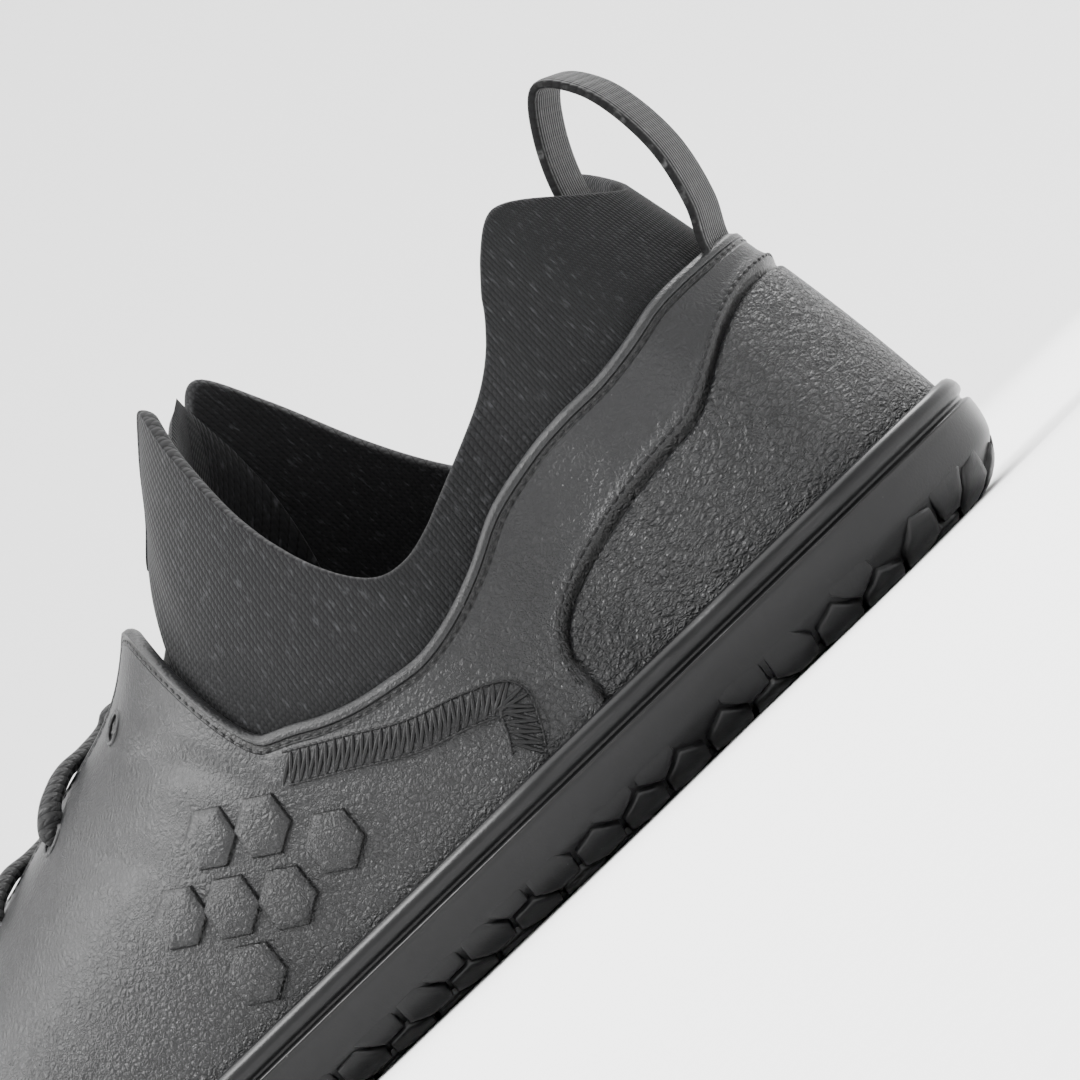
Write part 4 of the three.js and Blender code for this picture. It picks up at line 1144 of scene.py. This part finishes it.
def grain_group():
    """Leather's grain: pebbles parted by creases in two sizes, with slow swells, as a height in metres, and a
    mask of the coarse creases, which the leather darkens as painted shade.
    """
    found = bpy.data.node_groups.get("Leather grain")
    if found:
        return found
    inputs = (
        ("Vector", "NodeSocketVector", None),
        ("Size", "NodeSocketFloat", 0.001),
        ("Depth", "NodeSocketFloat", 0.0001),
    )
    group, given, result = new_group("Leather grain", inputs, ("Height", "Crease"))
    scale = maths(group, "DIVIDE", 1.0, given["Size"])
    warp = node(group, "ShaderNodeTexNoise", {"Vector": given["Vector"], "Scale": 420.0, "Detail": 2.0})
    centre = {0: warp.outputs["Color"], 1: (0.5, 0.5, 0.5)}
    shifted = node(group, "ShaderNodeVectorMath", centre, operation="SUBTRACT")
    scaled = node(group, "ShaderNodeVectorMath", {0: shifted.outputs[0], "Scale": 0.0009}, operation="SCALE")
    both = {0: given["Vector"], 1: scaled.outputs[0]}
    moved = node(group, "ShaderNodeVectorMath", both, operation="ADD").outputs[0]
    cells = {"Vector": moved, "Scale": scale}
    coarse = node(group, "ShaderNodeTexVoronoi", cells, feature="DISTANCE_TO_EDGE")
    finer = maths(group, "MULTIPLY", scale, 2.3)
    fine = node(group, "ShaderNodeTexVoronoi", {"Vector": moved, "Scale": finer}, feature="DISTANCE_TO_EDGE")
    pebble = maths(group, "POWER", between(group, coarse.outputs["Distance"], -0.02, 0.46), 0.8)
    small = maths(group, "POWER", between(group, fine.outputs["Distance"], -0.02, 0.46), 0.8)
    swell = node(group, "ShaderNodeTexNoise", {"Vector": given["Vector"], "Scale": 260.0, "Detail": 3.0})
    sized = maths(group, "MULTIPLY", pebble, between(group, swell.outputs["Fac"], 0.3, 0.62, 0.25, 1.0))
    both = maths(group, "ADD", sized, maths(group, "MULTIPLY", small, 0.45))
    slow = maths(group, "ADD", both, maths(group, "MULTIPLY", swell.outputs["Fac"], 1.6))
    group.links.new(maths(group, "MULTIPLY", slow, given["Depth"]), result["Height"])
    # Crease: the coarse pebbles' edges, which the leather darkens as painted shade and roughens
    group.links.new(between(group, coarse.outputs["Distance"], 0.13, 0.0), result["Crease"])
    return group


def wear_group():
    """Dust and handling: a patchy mask for roughness and a sparse one of pale specks."""
    found = bpy.data.node_groups.get("Wear")
    if found:
        return found
    group, given, result = new_group("Wear", (("Vector", "NodeSocketVector", None),), ("Patches", "Specks"))
    cloud = node(group, "ShaderNodeTexNoise", {"Vector": given["Vector"], "Scale": 38.0, "Detail": 5.0})
    dots = node(group, "ShaderNodeTexVoronoi", {"Vector": given["Vector"], "Scale": 620.0})
    speck = between(group, dots.outputs["Distance"], 0.1, 0.04)
    sparse = node(group, "ShaderNodeTexNoise", {"Vector": given["Vector"], "Scale": 140.0, "Detail": 1.0})
    rare = between(group, sparse.outputs["Fac"], 0.6, 0.68)
    group.links.new(between(group, cloud.outputs["Fac"], 0.38, 0.66), result["Patches"])
    group.links.new(maths(group, "MULTIPLY", speck, rare), result["Specks"])
    return group


def thread_group():
    """Yarns from a map in metres: ribs across U, stitches along V, flecks of paler fibre, and the gaps
    between yarns, which the yarn materials darken as painted shade.
    """
    found = bpy.data.node_groups.get("Yarns")
    if found:
        return found
    inputs = (
        ("Vector", "NodeSocketVector", None),
        ("Across", "NodeSocketFloat", 0.001),
        ("Along", "NodeSocketFloat", 0.001),
        ("Slant", "NodeSocketFloat", 0.0),
    )
    group, given, result = new_group("Yarns", inputs, ("Height", "Gap", "Fleck"))
    parts = node(group, "ShaderNodeSeparateXYZ", {0: given["Vector"]}).outputs
    wander = node(group, "ShaderNodeTexNoise", {"Vector": given["Vector"], "Scale": 300.0, "Detail": 2.0})
    shift = maths(group, "MULTIPLY", maths(group, "SUBTRACT", wander.outputs["Fac"], 0.5), 1.2)
    rib = maths(group, "MULTIPLY", maths(group, "DIVIDE", parts[0], given["Across"]), math.tau)
    rib = maths(group, "ADD", rib, shift)
    ridge = maths(group, "ABSOLUTE", maths(group, "SINE", maths(group, "MULTIPLY", rib, 0.5)))
    row = maths(group, "MULTIPLY", maths(group, "DIVIDE", parts[1], given["Along"]), math.tau)
    valley = maths(group, "ABSOLUTE", maths(group, "COSINE", maths(group, "MULTIPLY", rib, 0.5)))
    lean = maths(group, "MULTIPLY", valley, given["Slant"])
    turned = maths(group, "MULTIPLY", maths(group, "ADD", row, lean), 0.5)
    loop = maths(group, "ABSOLUTE", maths(group, "SINE", turned))
    rounded = maths(group, "POWER", ridge, 0.6)
    woven = maths(group, "MULTIPLY", rounded, maths(group, "ADD", maths(group, "MULTIPLY", loop, 0.55), 0.45))
    drawn = {0: given["Vector"], 1: (1.0, 0.28, 1.0)}
    stretch = node(group, "ShaderNodeVectorMath", drawn, operation="MULTIPLY")
    fibre = node(group, "ShaderNodeTexNoise", {"Vector": stretch.outputs[0], "Scale": 1500.0, "Detail": 3.0})
    group.links.new(woven, result["Height"])
    # Gap: where the yarns sink between ribs and stitches, used for painted shade and roughness
    group.links.new(between(group, woven, 0.45, 0.1), result["Gap"])
    group.links.new(between(group, fibre.outputs["Fac"], 0.56, 0.74), result["Fleck"])
    return group


def new_material(name):
    """A material with its Principled shader, its tree and its object coordinates."""
    material = bpy.data.materials.new(name)
    material.use_nodes = True
    tree = material.node_tree
    shader = next(n for n in tree.nodes if n.type == "BSDF_PRINCIPLED")
    return material, tree, shader, node(tree, "ShaderNodeTexCoord").outputs["Object"]


def finish_material(tree, shader, colour, roughness, height, **values):
    """Wires colour, roughness and height, and sets the shader's other inputs."""
    tree.links.new(colour, shader.inputs["Base Color"])
    tree.links.new(roughness, shader.inputs["Roughness"])
    bump = node(tree, "ShaderNodeBump", {"Height": height, "Distance": 1.0, "Strength": 1.0})
    tree.links.new(bump.outputs["Normal"], shader.inputs["Normal"])
    for key, value in values.items():
        shader.inputs[key.replace("_", " ")].default_value = value


def rgba(colour, by=1.0):
    return (colour[0] * by, colour[1] * by, colour[2] * by, 1.0)


def leather_material(name, size, depth, roughness, lined, stretch=1.0):
    """Black leather: grain with painted shade in its creases, patches worn smooth, and where it is lined the
    pressed groove and fold beside its edge, with painted shade, near black, in that groove, round the counter
    and the raised cells and in the lace holes, all drawn from distances kept on the mesh."""
    material, tree, shader, place = new_material(name)
    pulled = node(tree, "ShaderNodeVectorMath", {0: place, 1: (1.0, 1.0, stretch)}, operation="MULTIPLY")
    grain = node(tree, "ShaderNodeGroup", node_tree=grain_group())
    tree.links.new(pulled.outputs[0], grain.inputs["Vector"])
    grain.inputs["Size"].default_value = size
    upward = node(tree, "ShaderNodeSeparateXYZ", {0: place}).outputs[2]
    deep = depth * settings().grain
    low = between(tree, upward, 0.046, 0.02, deep * (0.3 if lined else 0.8), deep)
    tree.links.new(low, grain.inputs["Depth"])
    wear = node(tree, "ShaderNodeGroup", node_tree=wear_group())
    tree.links.new(place, wear.inputs["Vector"])
    base = rgba(settings().leather)
    colour = blended(tree, wear.outputs["Patches"], base, rgba(settings().leather, 1.18))
    # Painted shade in the grain's creases: darkened towards a quarter of the leather's colour, more towards
    # the bottom of the shoe, where the grain is deeper
    darker = between(tree, upward, 0.05, 0.02, 0.12 if lined else 0.55, 0.75)
    sunk = maths(tree, "MULTIPLY", grain.outputs["Crease"], darker)
    colour = blended(tree, sunk, colour, rgba(settings().leather, 0.25))
    height = grain.outputs["Height"]
    if lined:
        edge = node(tree, "ShaderNodeAttribute", attribute_name="edge").outputs["Fac"]
        seam = node(tree, "ShaderNodeAttribute", attribute_name="seam").outputs["Fac"]
        hole = node(tree, "ShaderNodeAttribute", attribute_name="hole").outputs["Fac"]
        # Painted shade, near black: in the pressed groove beside the edge, in the gap round the counter and
        # round the foot of the raised cells, and in the lace holes
        press = between(tree, maths(tree, "ABSOLUTE", maths(tree, "SUBTRACT", edge, EDGE_SEAM)), 0.6, 0.35)
        gap = between(tree, maths(tree, "ABSOLUTE", seam), 0.95, 0.65)
        bore = between(tree, hole, 2.0, 1.7)
        dark = maths(tree, "MAXIMUM", maths(tree, "MULTIPLY", press, 0.9), maths(tree, "MAXIMUM", gap, bore))
        colour = blended(tree, maths(tree, "MULTIPLY", dark, 0.93), colour, (0.002, 0.002, 0.002, 1.0))
        height = maths(tree, "SUBTRACT", height, maths(tree, "MULTIPLY", press, 0.00035))
    dust = maths(tree, "MULTIPLY", wear.outputs["Specks"], 0.25)
    colour = blended(tree, dust, colour, (0.3, 0.3, 0.3, 1.0))
    rough = maths(tree, "ADD", maths(tree, "MULTIPLY", sunk, 0.3), roughness)
    rough = maths(tree, "SUBTRACT", rough, maths(tree, "MULTIPLY", wear.outputs["Patches"], 0.07))
    finish_material(tree, shader, colour, rough, height, Specular_IOR_Level=0.24)
    return material


def rubber_material():
    """Black moulded rubber: a faint matt bloom, fine mould texture and a few specks of dust."""
    material, tree, shader, place = new_material("Rubber")
    wear = node(tree, "ShaderNodeGroup", node_tree=wear_group())
    tree.links.new(place, wear.inputs["Vector"])
    fine = node(tree, "ShaderNodeTexNoise", {"Vector": place, "Scale": 2600.0, "Detail": 2.0})
    base = rgba(settings().rubber)
    colour = blended(tree, wear.outputs["Patches"], base, rgba(settings().rubber, 1.35))
    dust = maths(tree, "MULTIPLY", wear.outputs["Specks"], 0.3)
    colour = blended(tree, dust, colour, (0.25, 0.25, 0.25, 1.0))
    rough = maths(tree, "ADD", maths(tree, "MULTIPLY", wear.outputs["Patches"], 0.06), 0.3)
    height = maths(tree, "MULTIPLY", fine.outputs["Fac"], 0.00002)
    finish_material(tree, shader, colour, rough, height, Specular_IOR_Level=0.2)
    return material


def yarn_material(name, colour, fleck, across, along, slant, depth, roughness):
    """Knitted, woven or braided yarn, drawn from the piece's map, which is in metres, with painted shade in
    the gaps between the yarns.
    """
    material, tree, shader, _ = new_material(name)
    place = node(tree, "ShaderNodeTexCoord").outputs["UV"]
    yarns = node(tree, "ShaderNodeGroup", node_tree=thread_group())
    tree.links.new(place, yarns.inputs["Vector"])
    for key, value in (("Across", across), ("Along", along), ("Slant", slant)):
        yarns.inputs[key].default_value = value
    shade = blended(tree, maths(tree, "MULTIPLY", yarns.outputs["Fleck"], 0.8), rgba(colour), rgba(fleck))
    # Painted shade: the gaps between the yarns are darkened towards 15 percent of the yarn's colour
    shade = blended(tree, maths(tree, "MULTIPLY", yarns.outputs["Gap"], 0.85), shade, rgba(colour, 0.15))
    rough = maths(tree, "ADD", maths(tree, "MULTIPLY", yarns.outputs["Gap"], 0.1), roughness)
    height = maths(tree, "MULTIPLY", yarns.outputs["Height"], depth)
    sheen = {"Specular_IOR_Level": 0.12, "Sheen_Weight": 0.05, "Sheen_Roughness": 0.4}
    finish_material(tree, shader, shade, rough, height, **sheen)
    return material


def thread_material():
    """Black sewing thread, twisted along its length."""
    material, tree, shader, place = new_material("Thread")
    twist = node(tree, "ShaderNodeTexNoise", {"Vector": place, "Scale": 3200.0, "Detail": 1.0})
    shade = between(tree, twist.outputs["Fac"], 0.35, 0.7)
    colour = blended(tree, shade, rgba(settings().thread, 0.6), rgba(settings().thread, 1.6))
    height = maths(tree, "MULTIPLY", twist.outputs["Fac"], 0.00008)
    rough = maths(tree, "ADD", maths(tree, "MULTIPLY", shade, 0.1), 0.42)
    finish_material(tree, shader, colour, rough, height, Specular_IOR_Level=0.2)
    return material


def footbed_material():
    """Dark foam under a fine woven cover."""
    material, tree, shader, place = new_material("Footbed")
    weave = node(tree, "ShaderNodeTexNoise", {"Vector": place, "Scale": 1800.0, "Detail": 3.0})
    shade = between(tree, weave.outputs["Fac"], 0.4, 0.65)
    colour = blended(tree, shade, (0.02, 0.02, 0.021, 1.0), (0.05, 0.05, 0.052, 1.0))
    height = maths(tree, "MULTIPLY", weave.outputs["Fac"], 0.00012)
    rough = maths(tree, "ADD", maths(tree, "MULTIPLY", shade, 0.1), 0.8)
    finish_material(tree, shader, colour, rough, height)
    return material


def floor_material():
    """Pale studio paper with the faintest unevenness."""
    material, tree, shader, place = new_material("Studio paper")
    fibre = node(tree, "ShaderNodeTexNoise", {"Vector": place, "Scale": 900.0, "Detail": 2.0})
    shade = between(tree, fibre.outputs["Fac"], 0.3, 0.7)
    colour = blended(tree, shade, rgba(settings().paper), rgba(settings().paper, 0.98))
    height = maths(tree, "MULTIPLY", fibre.outputs["Fac"], 0.00001)
    rough = maths(tree, "ADD", maths(tree, "MULTIPLY", shade, 0.04), 0.8)
    finish_material(tree, shader, colour, rough, height)
    return material


class ShoeSettings(bpy.types.PropertyGroup):
    """What a user would change."""

    grain: bpy.props.FloatProperty(
        name="Grain depth",
        description="How deep the leather's grain is, as a share of its usual depth",
        default=1.0,
        min=0.0,
        max=3.0,
        subtype="FACTOR",
    )
    leather: bpy.props.FloatVectorProperty(
        name="Leather",
        description="Colour of the leather",
        default=(0.0085, 0.0086, 0.009),
        min=0.0,
        max=1.0,
        size=3,
        subtype="COLOR",
    )
    rubber: bpy.props.FloatVectorProperty(
        name="Rubber",
        description="Colour of the sole",
        default=(0.0025, 0.0025, 0.0027),
        min=0.0,
        max=1.0,
        size=3,
        subtype="COLOR",
    )
    knit: bpy.props.FloatVectorProperty(
        name="Knit",
        description="Colour of the collar and the tongue",
        default=(0.0055, 0.0056, 0.006),
        min=0.0,
        max=1.0,
        size=3,
        subtype="COLOR",
    )
    thread: bpy.props.FloatVectorProperty(
        name="Thread",
        description="Colour of the stitches, the laces and the pull loop",
        default=(0.0022, 0.0022, 0.0024),
        min=0.0,
        max=1.0,
        size=3,
        subtype="COLOR",
    )
    paper: bpy.props.FloatVectorProperty(
        name="Paper",
        description="Colour of the studio's floor",
        default=(0.86, 0.86, 0.86),
        min=0.0,
        max=1.0,
        size=3,
        subtype="COLOR",
    )
    light: bpy.props.FloatProperty(
        name="Light",
        description="Strength of all the studio's lamps, as a share of the usual",
        default=1.0,
        min=0.0,
        max=5.0,
        subtype="FACTOR",
    )
    camera_height: bpy.props.FloatProperty(
        name="Camera height",
        description="Height of the camera over the floor",
        default=0.012,
        min=0.005,
        max=0.5,
        unit="LENGTH",
        subtype="DISTANCE",
    )


class SHOE_OT_outsole(bpy.types.Operator):
    """Makes the rubber sole with its honeycomb tread"""

    bl_idname = "shoe.outsole"
    bl_label = "Outsole"

    def execute(self, context):
        sole = Surface("Outsole", [rubber_material()])
        sole.grid(sole_skin(), round=True)
        hollow, plain = tread_pads()
        sole.grid(hollow, round=True, smooth=False)
        sole.grid(plain, round=True)
        sole.build("outsole", slot="rubber")
        return {"FINISHED"}


class SHOE_OT_insole(bpy.types.Operator):
    """Makes the footbed"""

    bl_idname = "shoe.insole"
    bl_label = "Insole"

    def execute(self, context):
        bed = Surface("Insole", [footbed_material()])
        bed.grid(insole_grid(), round=True).build("insole", slot="footbed")
        return {"FINISHED"}


class SHOE_OT_upper(bpy.types.Operator):
    """Makes the leather upper with its lining, lace holes and raised cells"""

    bl_idname = "shoe.upper"
    bl_label = "Upper"

    def execute(self, context):
        leather = leather_material("Leather", 0.001, 0.00017, 0.42, True)
        upper = Surface("Upper", [leather], values=("edge", "seam", "hole"))
        u, level, face, seam, edge, holes = upper_grid()
        roll = rolled_edge(u[-1], level[-1])
        inner = skin(u[::-3], level[::-3], LEATHER)
        whole = np.concatenate((face, roll, inner, face[:1]))
        added = len(roll) + len(inner)
        fill = np.zeros((added, u.shape[1]))
        upper.grid(
            whole,
            round=True,
            edge=np.concatenate((edge, fill, edge[:1])),
            seam=np.concatenate((seam, fill + 50, seam[:1])),
            hole=np.concatenate((holes, fill + 50, holes[:1])),
        )
        # Seam distances of each raised cell's rings, 0 at its foot, so that the leather paints shade, near
        # black, round the foot of each cell
        cell_foot_shade = np.array([0.0, 0.0, 0.9] + [3.0] * (len(CELL_PROFILE) - 3))[:, None]
        for at, height in CELLS:
            upper.grid(raised_cell(at, height), round=True, edge=50.0, seam=cell_foot_shade, hole=50.0)
        hole_u, hole_share = eyelets()
        centre = wall_point(hole_u, hole_share)
        normal = wall_normal(hole_u, hole_share)
        for place, out in zip(centre, normal):
            upper.grid(eyelet_ring(place, out), round=True, flip=True, edge=50.0, seam=50.0, hole=50.0)
        upper.build("upper", slot="leather")
        return {"FINISHED"}


def eyelet_ring(place, out):
    """A pressed ring round a lace hole: a torus of 2.35 by 0.35, sunk to its middle."""
    along = np.cross(out, (0, 0, 1.0))
    along /= np.linalg.norm(along)
    up = np.cross(along, out)
    turn = around(28)[None, :, None] * 2 * math.pi
    bend = np.linspace(0, 2 * math.pi, 9)[:, None, None]
    reach = 2.35 + 0.4 * np.cos(bend)
    return place + (along * np.cos(turn) + up * np.sin(turn)) * reach - out * 0.35 * np.sin(bend)


class SHOE_OT_heel_counter(bpy.types.Operator):
    """Makes the pebbled leather panel round the heel"""

    bl_idname = "shoe.heel_counter"
    bl_label = "Heel counter"

    def execute(self, context):
        leather = leather_material("Pebbled leather", 0.0016, 0.00036, 0.4, False, 1.6)
        _, _, face, _ = counter_grid()
        Surface("Heel_counter", [leather]).grid(face).build("heel_counter", slot="pebbled")
        return {"FINISHED"}


class SHOE_OT_knit(bpy.types.Operator):
    """Makes the knitted collar and tongue"""

    bl_idname = "shoe.knit"
    bl_label = "Knit"

    def execute(self, context):
        fleck = [value * 4.5 for value in settings().knit]
        knit = yarn_material("Rib knit", settings().knit, fleck, 0.0008, 0.0009, 1.6, 0.00014, 0.75)
        for name, made, close in (("Collar", collar_grid(), False), ("Tongue", tongue_grid(), True)):
            place, uv = made
            Surface(name, [knit]).grid(place, uv=uv, round=close, flip=close).build(name.lower(), slot="knit")
        return {"FINISHED"}


class SHOE_OT_laces(bpy.types.Operator):
    """Makes the laces, hole to hole"""

    bl_idname = "shoe.laces"
    bl_label = "Laces"

    def execute(self, context):
        cord = yarn_material("Braid", settings().thread, [0.04] * 3, 0.0016, 0.0014, 3.1, 0.00025, 0.6)
        laces = Surface("Laces", [cord])
        rows = LACE_ROWS
        place, uv = lace(rows[3], rows[3], BAR_ASIDE, BAR_LIFT, LATERAL)
        laces.grid(place, round=True, flip=True, uv=uv)
        for side in (LATERAL, MEDIAL):
            first = side == LATERAL
            place, uv = lace(rows[3], rows[2], OVER_ASIDE, UNDER_LIFT, side, 1.3 if first else -0.2)
            laces.grid(place, round=True, flip=True, uv=uv)
            for low, high in ((rows[2], rows[1]), (rows[1], rows[0])):
                place, uv = lace(low, high, OVER_ASIDE, OVER_LIFT, side, 1.5 if first else -0.6)
                laces.grid(place, round=True, flip=True, uv=uv)
            aside = np.full(9, LACE_END_ASIDE * side)
            path = over_leather(np.full(9, rows[0]), aside, np.linspace(-3.4, -0.2, 9))
            place, uv = tube(path, np.array((0, 1.0, 0)), 3.6, 3.0)
            laces.grid(place, round=True, flip=True, uv=uv)
        laces.build("laces", slot="cord")
        return {"FINISHED"}


class SHOE_OT_pull_loop(bpy.types.Operator):
    """Makes the webbing loop over the heel"""

    bl_idname = "shoe.pull_loop"
    bl_label = "Pull loop"

    def execute(self, context):
        tape = yarn_material("Webbing", settings().thread, [0.05] * 3, 0.0009, 0.0012, 0.0, 0.0002, 0.62)
        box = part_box("pull_loop")
        width = (box[1] - box[0]).x / MM + 2 * WEBBING_SPREAD
        place, uv = webbing(loop_path(), width, WEBBING_THICKNESS)
        loop = Surface("Pull_loop", [tape]).grid(place, round=True, flip=True, uv=uv)
        loop.build("pull_loop", slot="webbing")
        return {"FINISHED"}


class SHOE_OT_stitches(bpy.types.Operator):
    """Sews the rows beside the leather's edge and the counter, and the satin band"""

    bl_idname = "shoe.stitches"
    bl_label = "Stitches"

    def execute(self, context):
        sewing = Surface("Stitches", [thread_material()])
        for line, normal in (beside_edge(EDGE_SEAM), beside_counter(COUNTER_SEAM, 0.4)):
            sewing.grid(capsules(*stitch_row(line, normal, 1.7, 1.3), 1.45, 0.5, 0.45), round=True, flip=True)
        middle, across, out, line, normal = band_threads()
        sewing.grid(capsules(middle, across, out, BAND_WIDTH * 1.1, 0.7, 0.6), round=True, flip=True)
        ahead = np.gradient(line, axis=0)
        beside = np.cross(normal, ahead / np.linalg.norm(ahead, axis=1)[:, None])
        for side in (-0.5, 0.5):
            edge = line + beside * side * BAND_WIDTH
            sewing.grid(capsules(*stitch_row(edge, normal, 1.0, 1.0), 1.3, 0.4, 0.4), round=True, flip=True)
        sewing.build(slot="cord")
        return {"FINISHED"}


class SHOE_OT_stage(bpy.types.Operator):
    """Makes the floor, the lamps and the camera"""

    bl_idname = "shoe.stage"
    bl_label = "Stage"

    def execute(self, context):
        make_camera()
        make_floor()
        make_lamps()
        return {"FINISHED"}


CAMERA_AIM = (0.0, 0.084, 0.039)
CAMERA_AWAY = (0.924, 0.381)
CAMERA_DISTANCE = 0.5
CAMERA_ROLL = math.radians(44.0)
CAMERA_LENS = 116.7


def make_camera():
    """The photo's side and roll of the shoe, from just over the floor."""
    data = bpy.data.cameras.new("Camera")
    data.lens = CAMERA_LENS
    data.sensor_width = 36.0
    data.clip_start = 0.01
    data.clip_end = 100.0
    camera = bpy.data.objects.new("Camera", data)
    aim = Vector(CAMERA_AIM)
    away = Vector((*CAMERA_AWAY, 0.0)).normalized()
    camera.location = aim + away * CAMERA_DISTANCE
    camera.location.z = settings().camera_height
    ahead = (aim - camera.location).normalized()
    right = ahead.cross(Vector((0, 0, 1))).normalized()
    up = right.cross(ahead)
    turned_right = right * math.cos(CAMERA_ROLL) - up * math.sin(CAMERA_ROLL)
    turned_up = right * math.sin(CAMERA_ROLL) + up * math.cos(CAMERA_ROLL)
    camera.rotation_mode = "QUATERNION"
    axes = [turned_right, turned_up, -ahead]
    turn = [[axis[k] for axis in axes] for k in range(3)]
    camera.rotation_quaternion = Matrix(turn).to_quaternion()
    bpy.context.scene.collection.objects.link(camera)
    bpy.context.scene.camera = camera


def make_floor():
    """A pale disc that curves up far from the shoe: height is the square of the distance past 3 m."""
    turn = around(96) * 2 * math.pi
    reach = np.concatenate((np.linspace(0.0, 3.0, 12), np.linspace(3.0, 9.0, 24)[1:]))[:, None]
    height = np.maximum(reach - 3.0, 0) ** 2 * 0.16
    points = np.stack((reach * np.cos(turn), reach * np.sin(turn), height + 0 * turn), -1)
    mesh = bpy.data.meshes.new("Floor")
    rows, columns = reach.shape[0], len(turn)
    i, j = np.meshgrid(np.arange(rows - 1), np.arange(columns), indexing="ij")
    k = (j + 1) % columns
    quads = np.stack((i * columns + j, (i + 1) * columns + j, (i + 1) * columns + k, i * columns + k), -1)
    mesh.from_pydata(points.reshape(-1, 3).tolist(), [], quads.reshape(-1, 4).tolist())
    mesh.polygons.foreach_set("use_smooth", np.ones(len(mesh.polygons), bool))
    mesh.materials.append(floor_material())
    floor = bpy.data.objects.new("Floor", mesh)
    bpy.context.scene.collection.objects.link(floor)


LAMPS = (
    # name, place, size, power
    ("Key", (0.45, -0.35, 0.8), 0.35, 15.0),
    ("Fill", (1.2, 0.9, 0.4), 0.5, 4.0),
    ("Rim", (-0.9, 0.5, 0.9), 0.5, 16.0),
    ("Front", (0.1, -1.2, 0.7), 0.5, 12.0),
)
SUN_POWER = 8.0


def make_lamps():
    """Soft square lamps turned to the shoe, and a pale room."""
    for name, place, size, power in LAMPS:
        data = bpy.data.lights.new(name, "AREA")
        data.size = size
        data.energy = power * settings().light
        lamp = bpy.data.objects.new(name, data)
        lamp.location = place
        lamp.rotation_mode = "QUATERNION"
        lamp.rotation_quaternion = (Vector((0, 0, 0.04)) - lamp.location).to_track_quat("-Z", "Y")
        bpy.context.scene.collection.objects.link(lamp)
    data = bpy.data.lights.new("Overhead", "SUN")
    data.energy = SUN_POWER * settings().light
    data.angle = math.radians(80.0)
    bpy.context.scene.collection.objects.link(bpy.data.objects.new("Overhead", data))
    world = bpy.data.worlds.new("Studio")
    bpy.context.scene.world = world
    world.use_nodes = True
    background = world.node_tree.nodes["Background"]
    background.inputs["Color"].default_value = (1.0, 1.0, 1.0, 1.0)
    background.inputs["Strength"].default_value = 0.3


OPERATORS = (
    SHOE_OT_stage,
    SHOE_OT_outsole,
    SHOE_OT_insole,
    SHOE_OT_upper,
    SHOE_OT_heel_counter,
    SHOE_OT_knit,
    SHOE_OT_laces,
    SHOE_OT_pull_loop,
    SHOE_OT_stitches,
)


class SHOE_PT_panel(bpy.types.Panel):
    """Lists the shoe's settings and pieces"""

    bl_idname = "SHOE_PT_panel"
    bl_label = "Barefoot shoe"
    bl_space_type = "VIEW_3D"
    bl_region_type = "UI"
    bl_category = "Shoe"

    def draw(self, context):
        for key in ShoeSettings.__annotations__:
            self.layout.prop(context.scene.barefoot_shoe, key)
        for operator in OPERATORS:
            self.layout.operator(operator.bl_idname)


def register():
    for kind in (ShoeSettings, *OPERATORS, SHOE_PT_panel):
        bpy.utils.register_class(kind)
    bpy.types.Scene.barefoot_shoe = bpy.props.PointerProperty(type=ShoeSettings)


def unregister():
    del bpy.types.Scene.barefoot_shoe
    for kind in reversed((ShoeSettings, *OPERATORS, SHOE_PT_panel)):
        bpy.utils.unregister_class(kind)


def main():
    register()
    bpy.ops.shoe.stage()
    bpy.ops.shoe.outsole()
    bpy.ops.shoe.insole()
    bpy.ops.shoe.upper()
    bpy.ops.shoe.heel_counter()
    bpy.ops.shoe.knit()
    bpy.ops.shoe.laces()
    bpy.ops.shoe.pull_loop()
    bpy.ops.shoe.stitches()


if __name__ == "__main__":
    main()
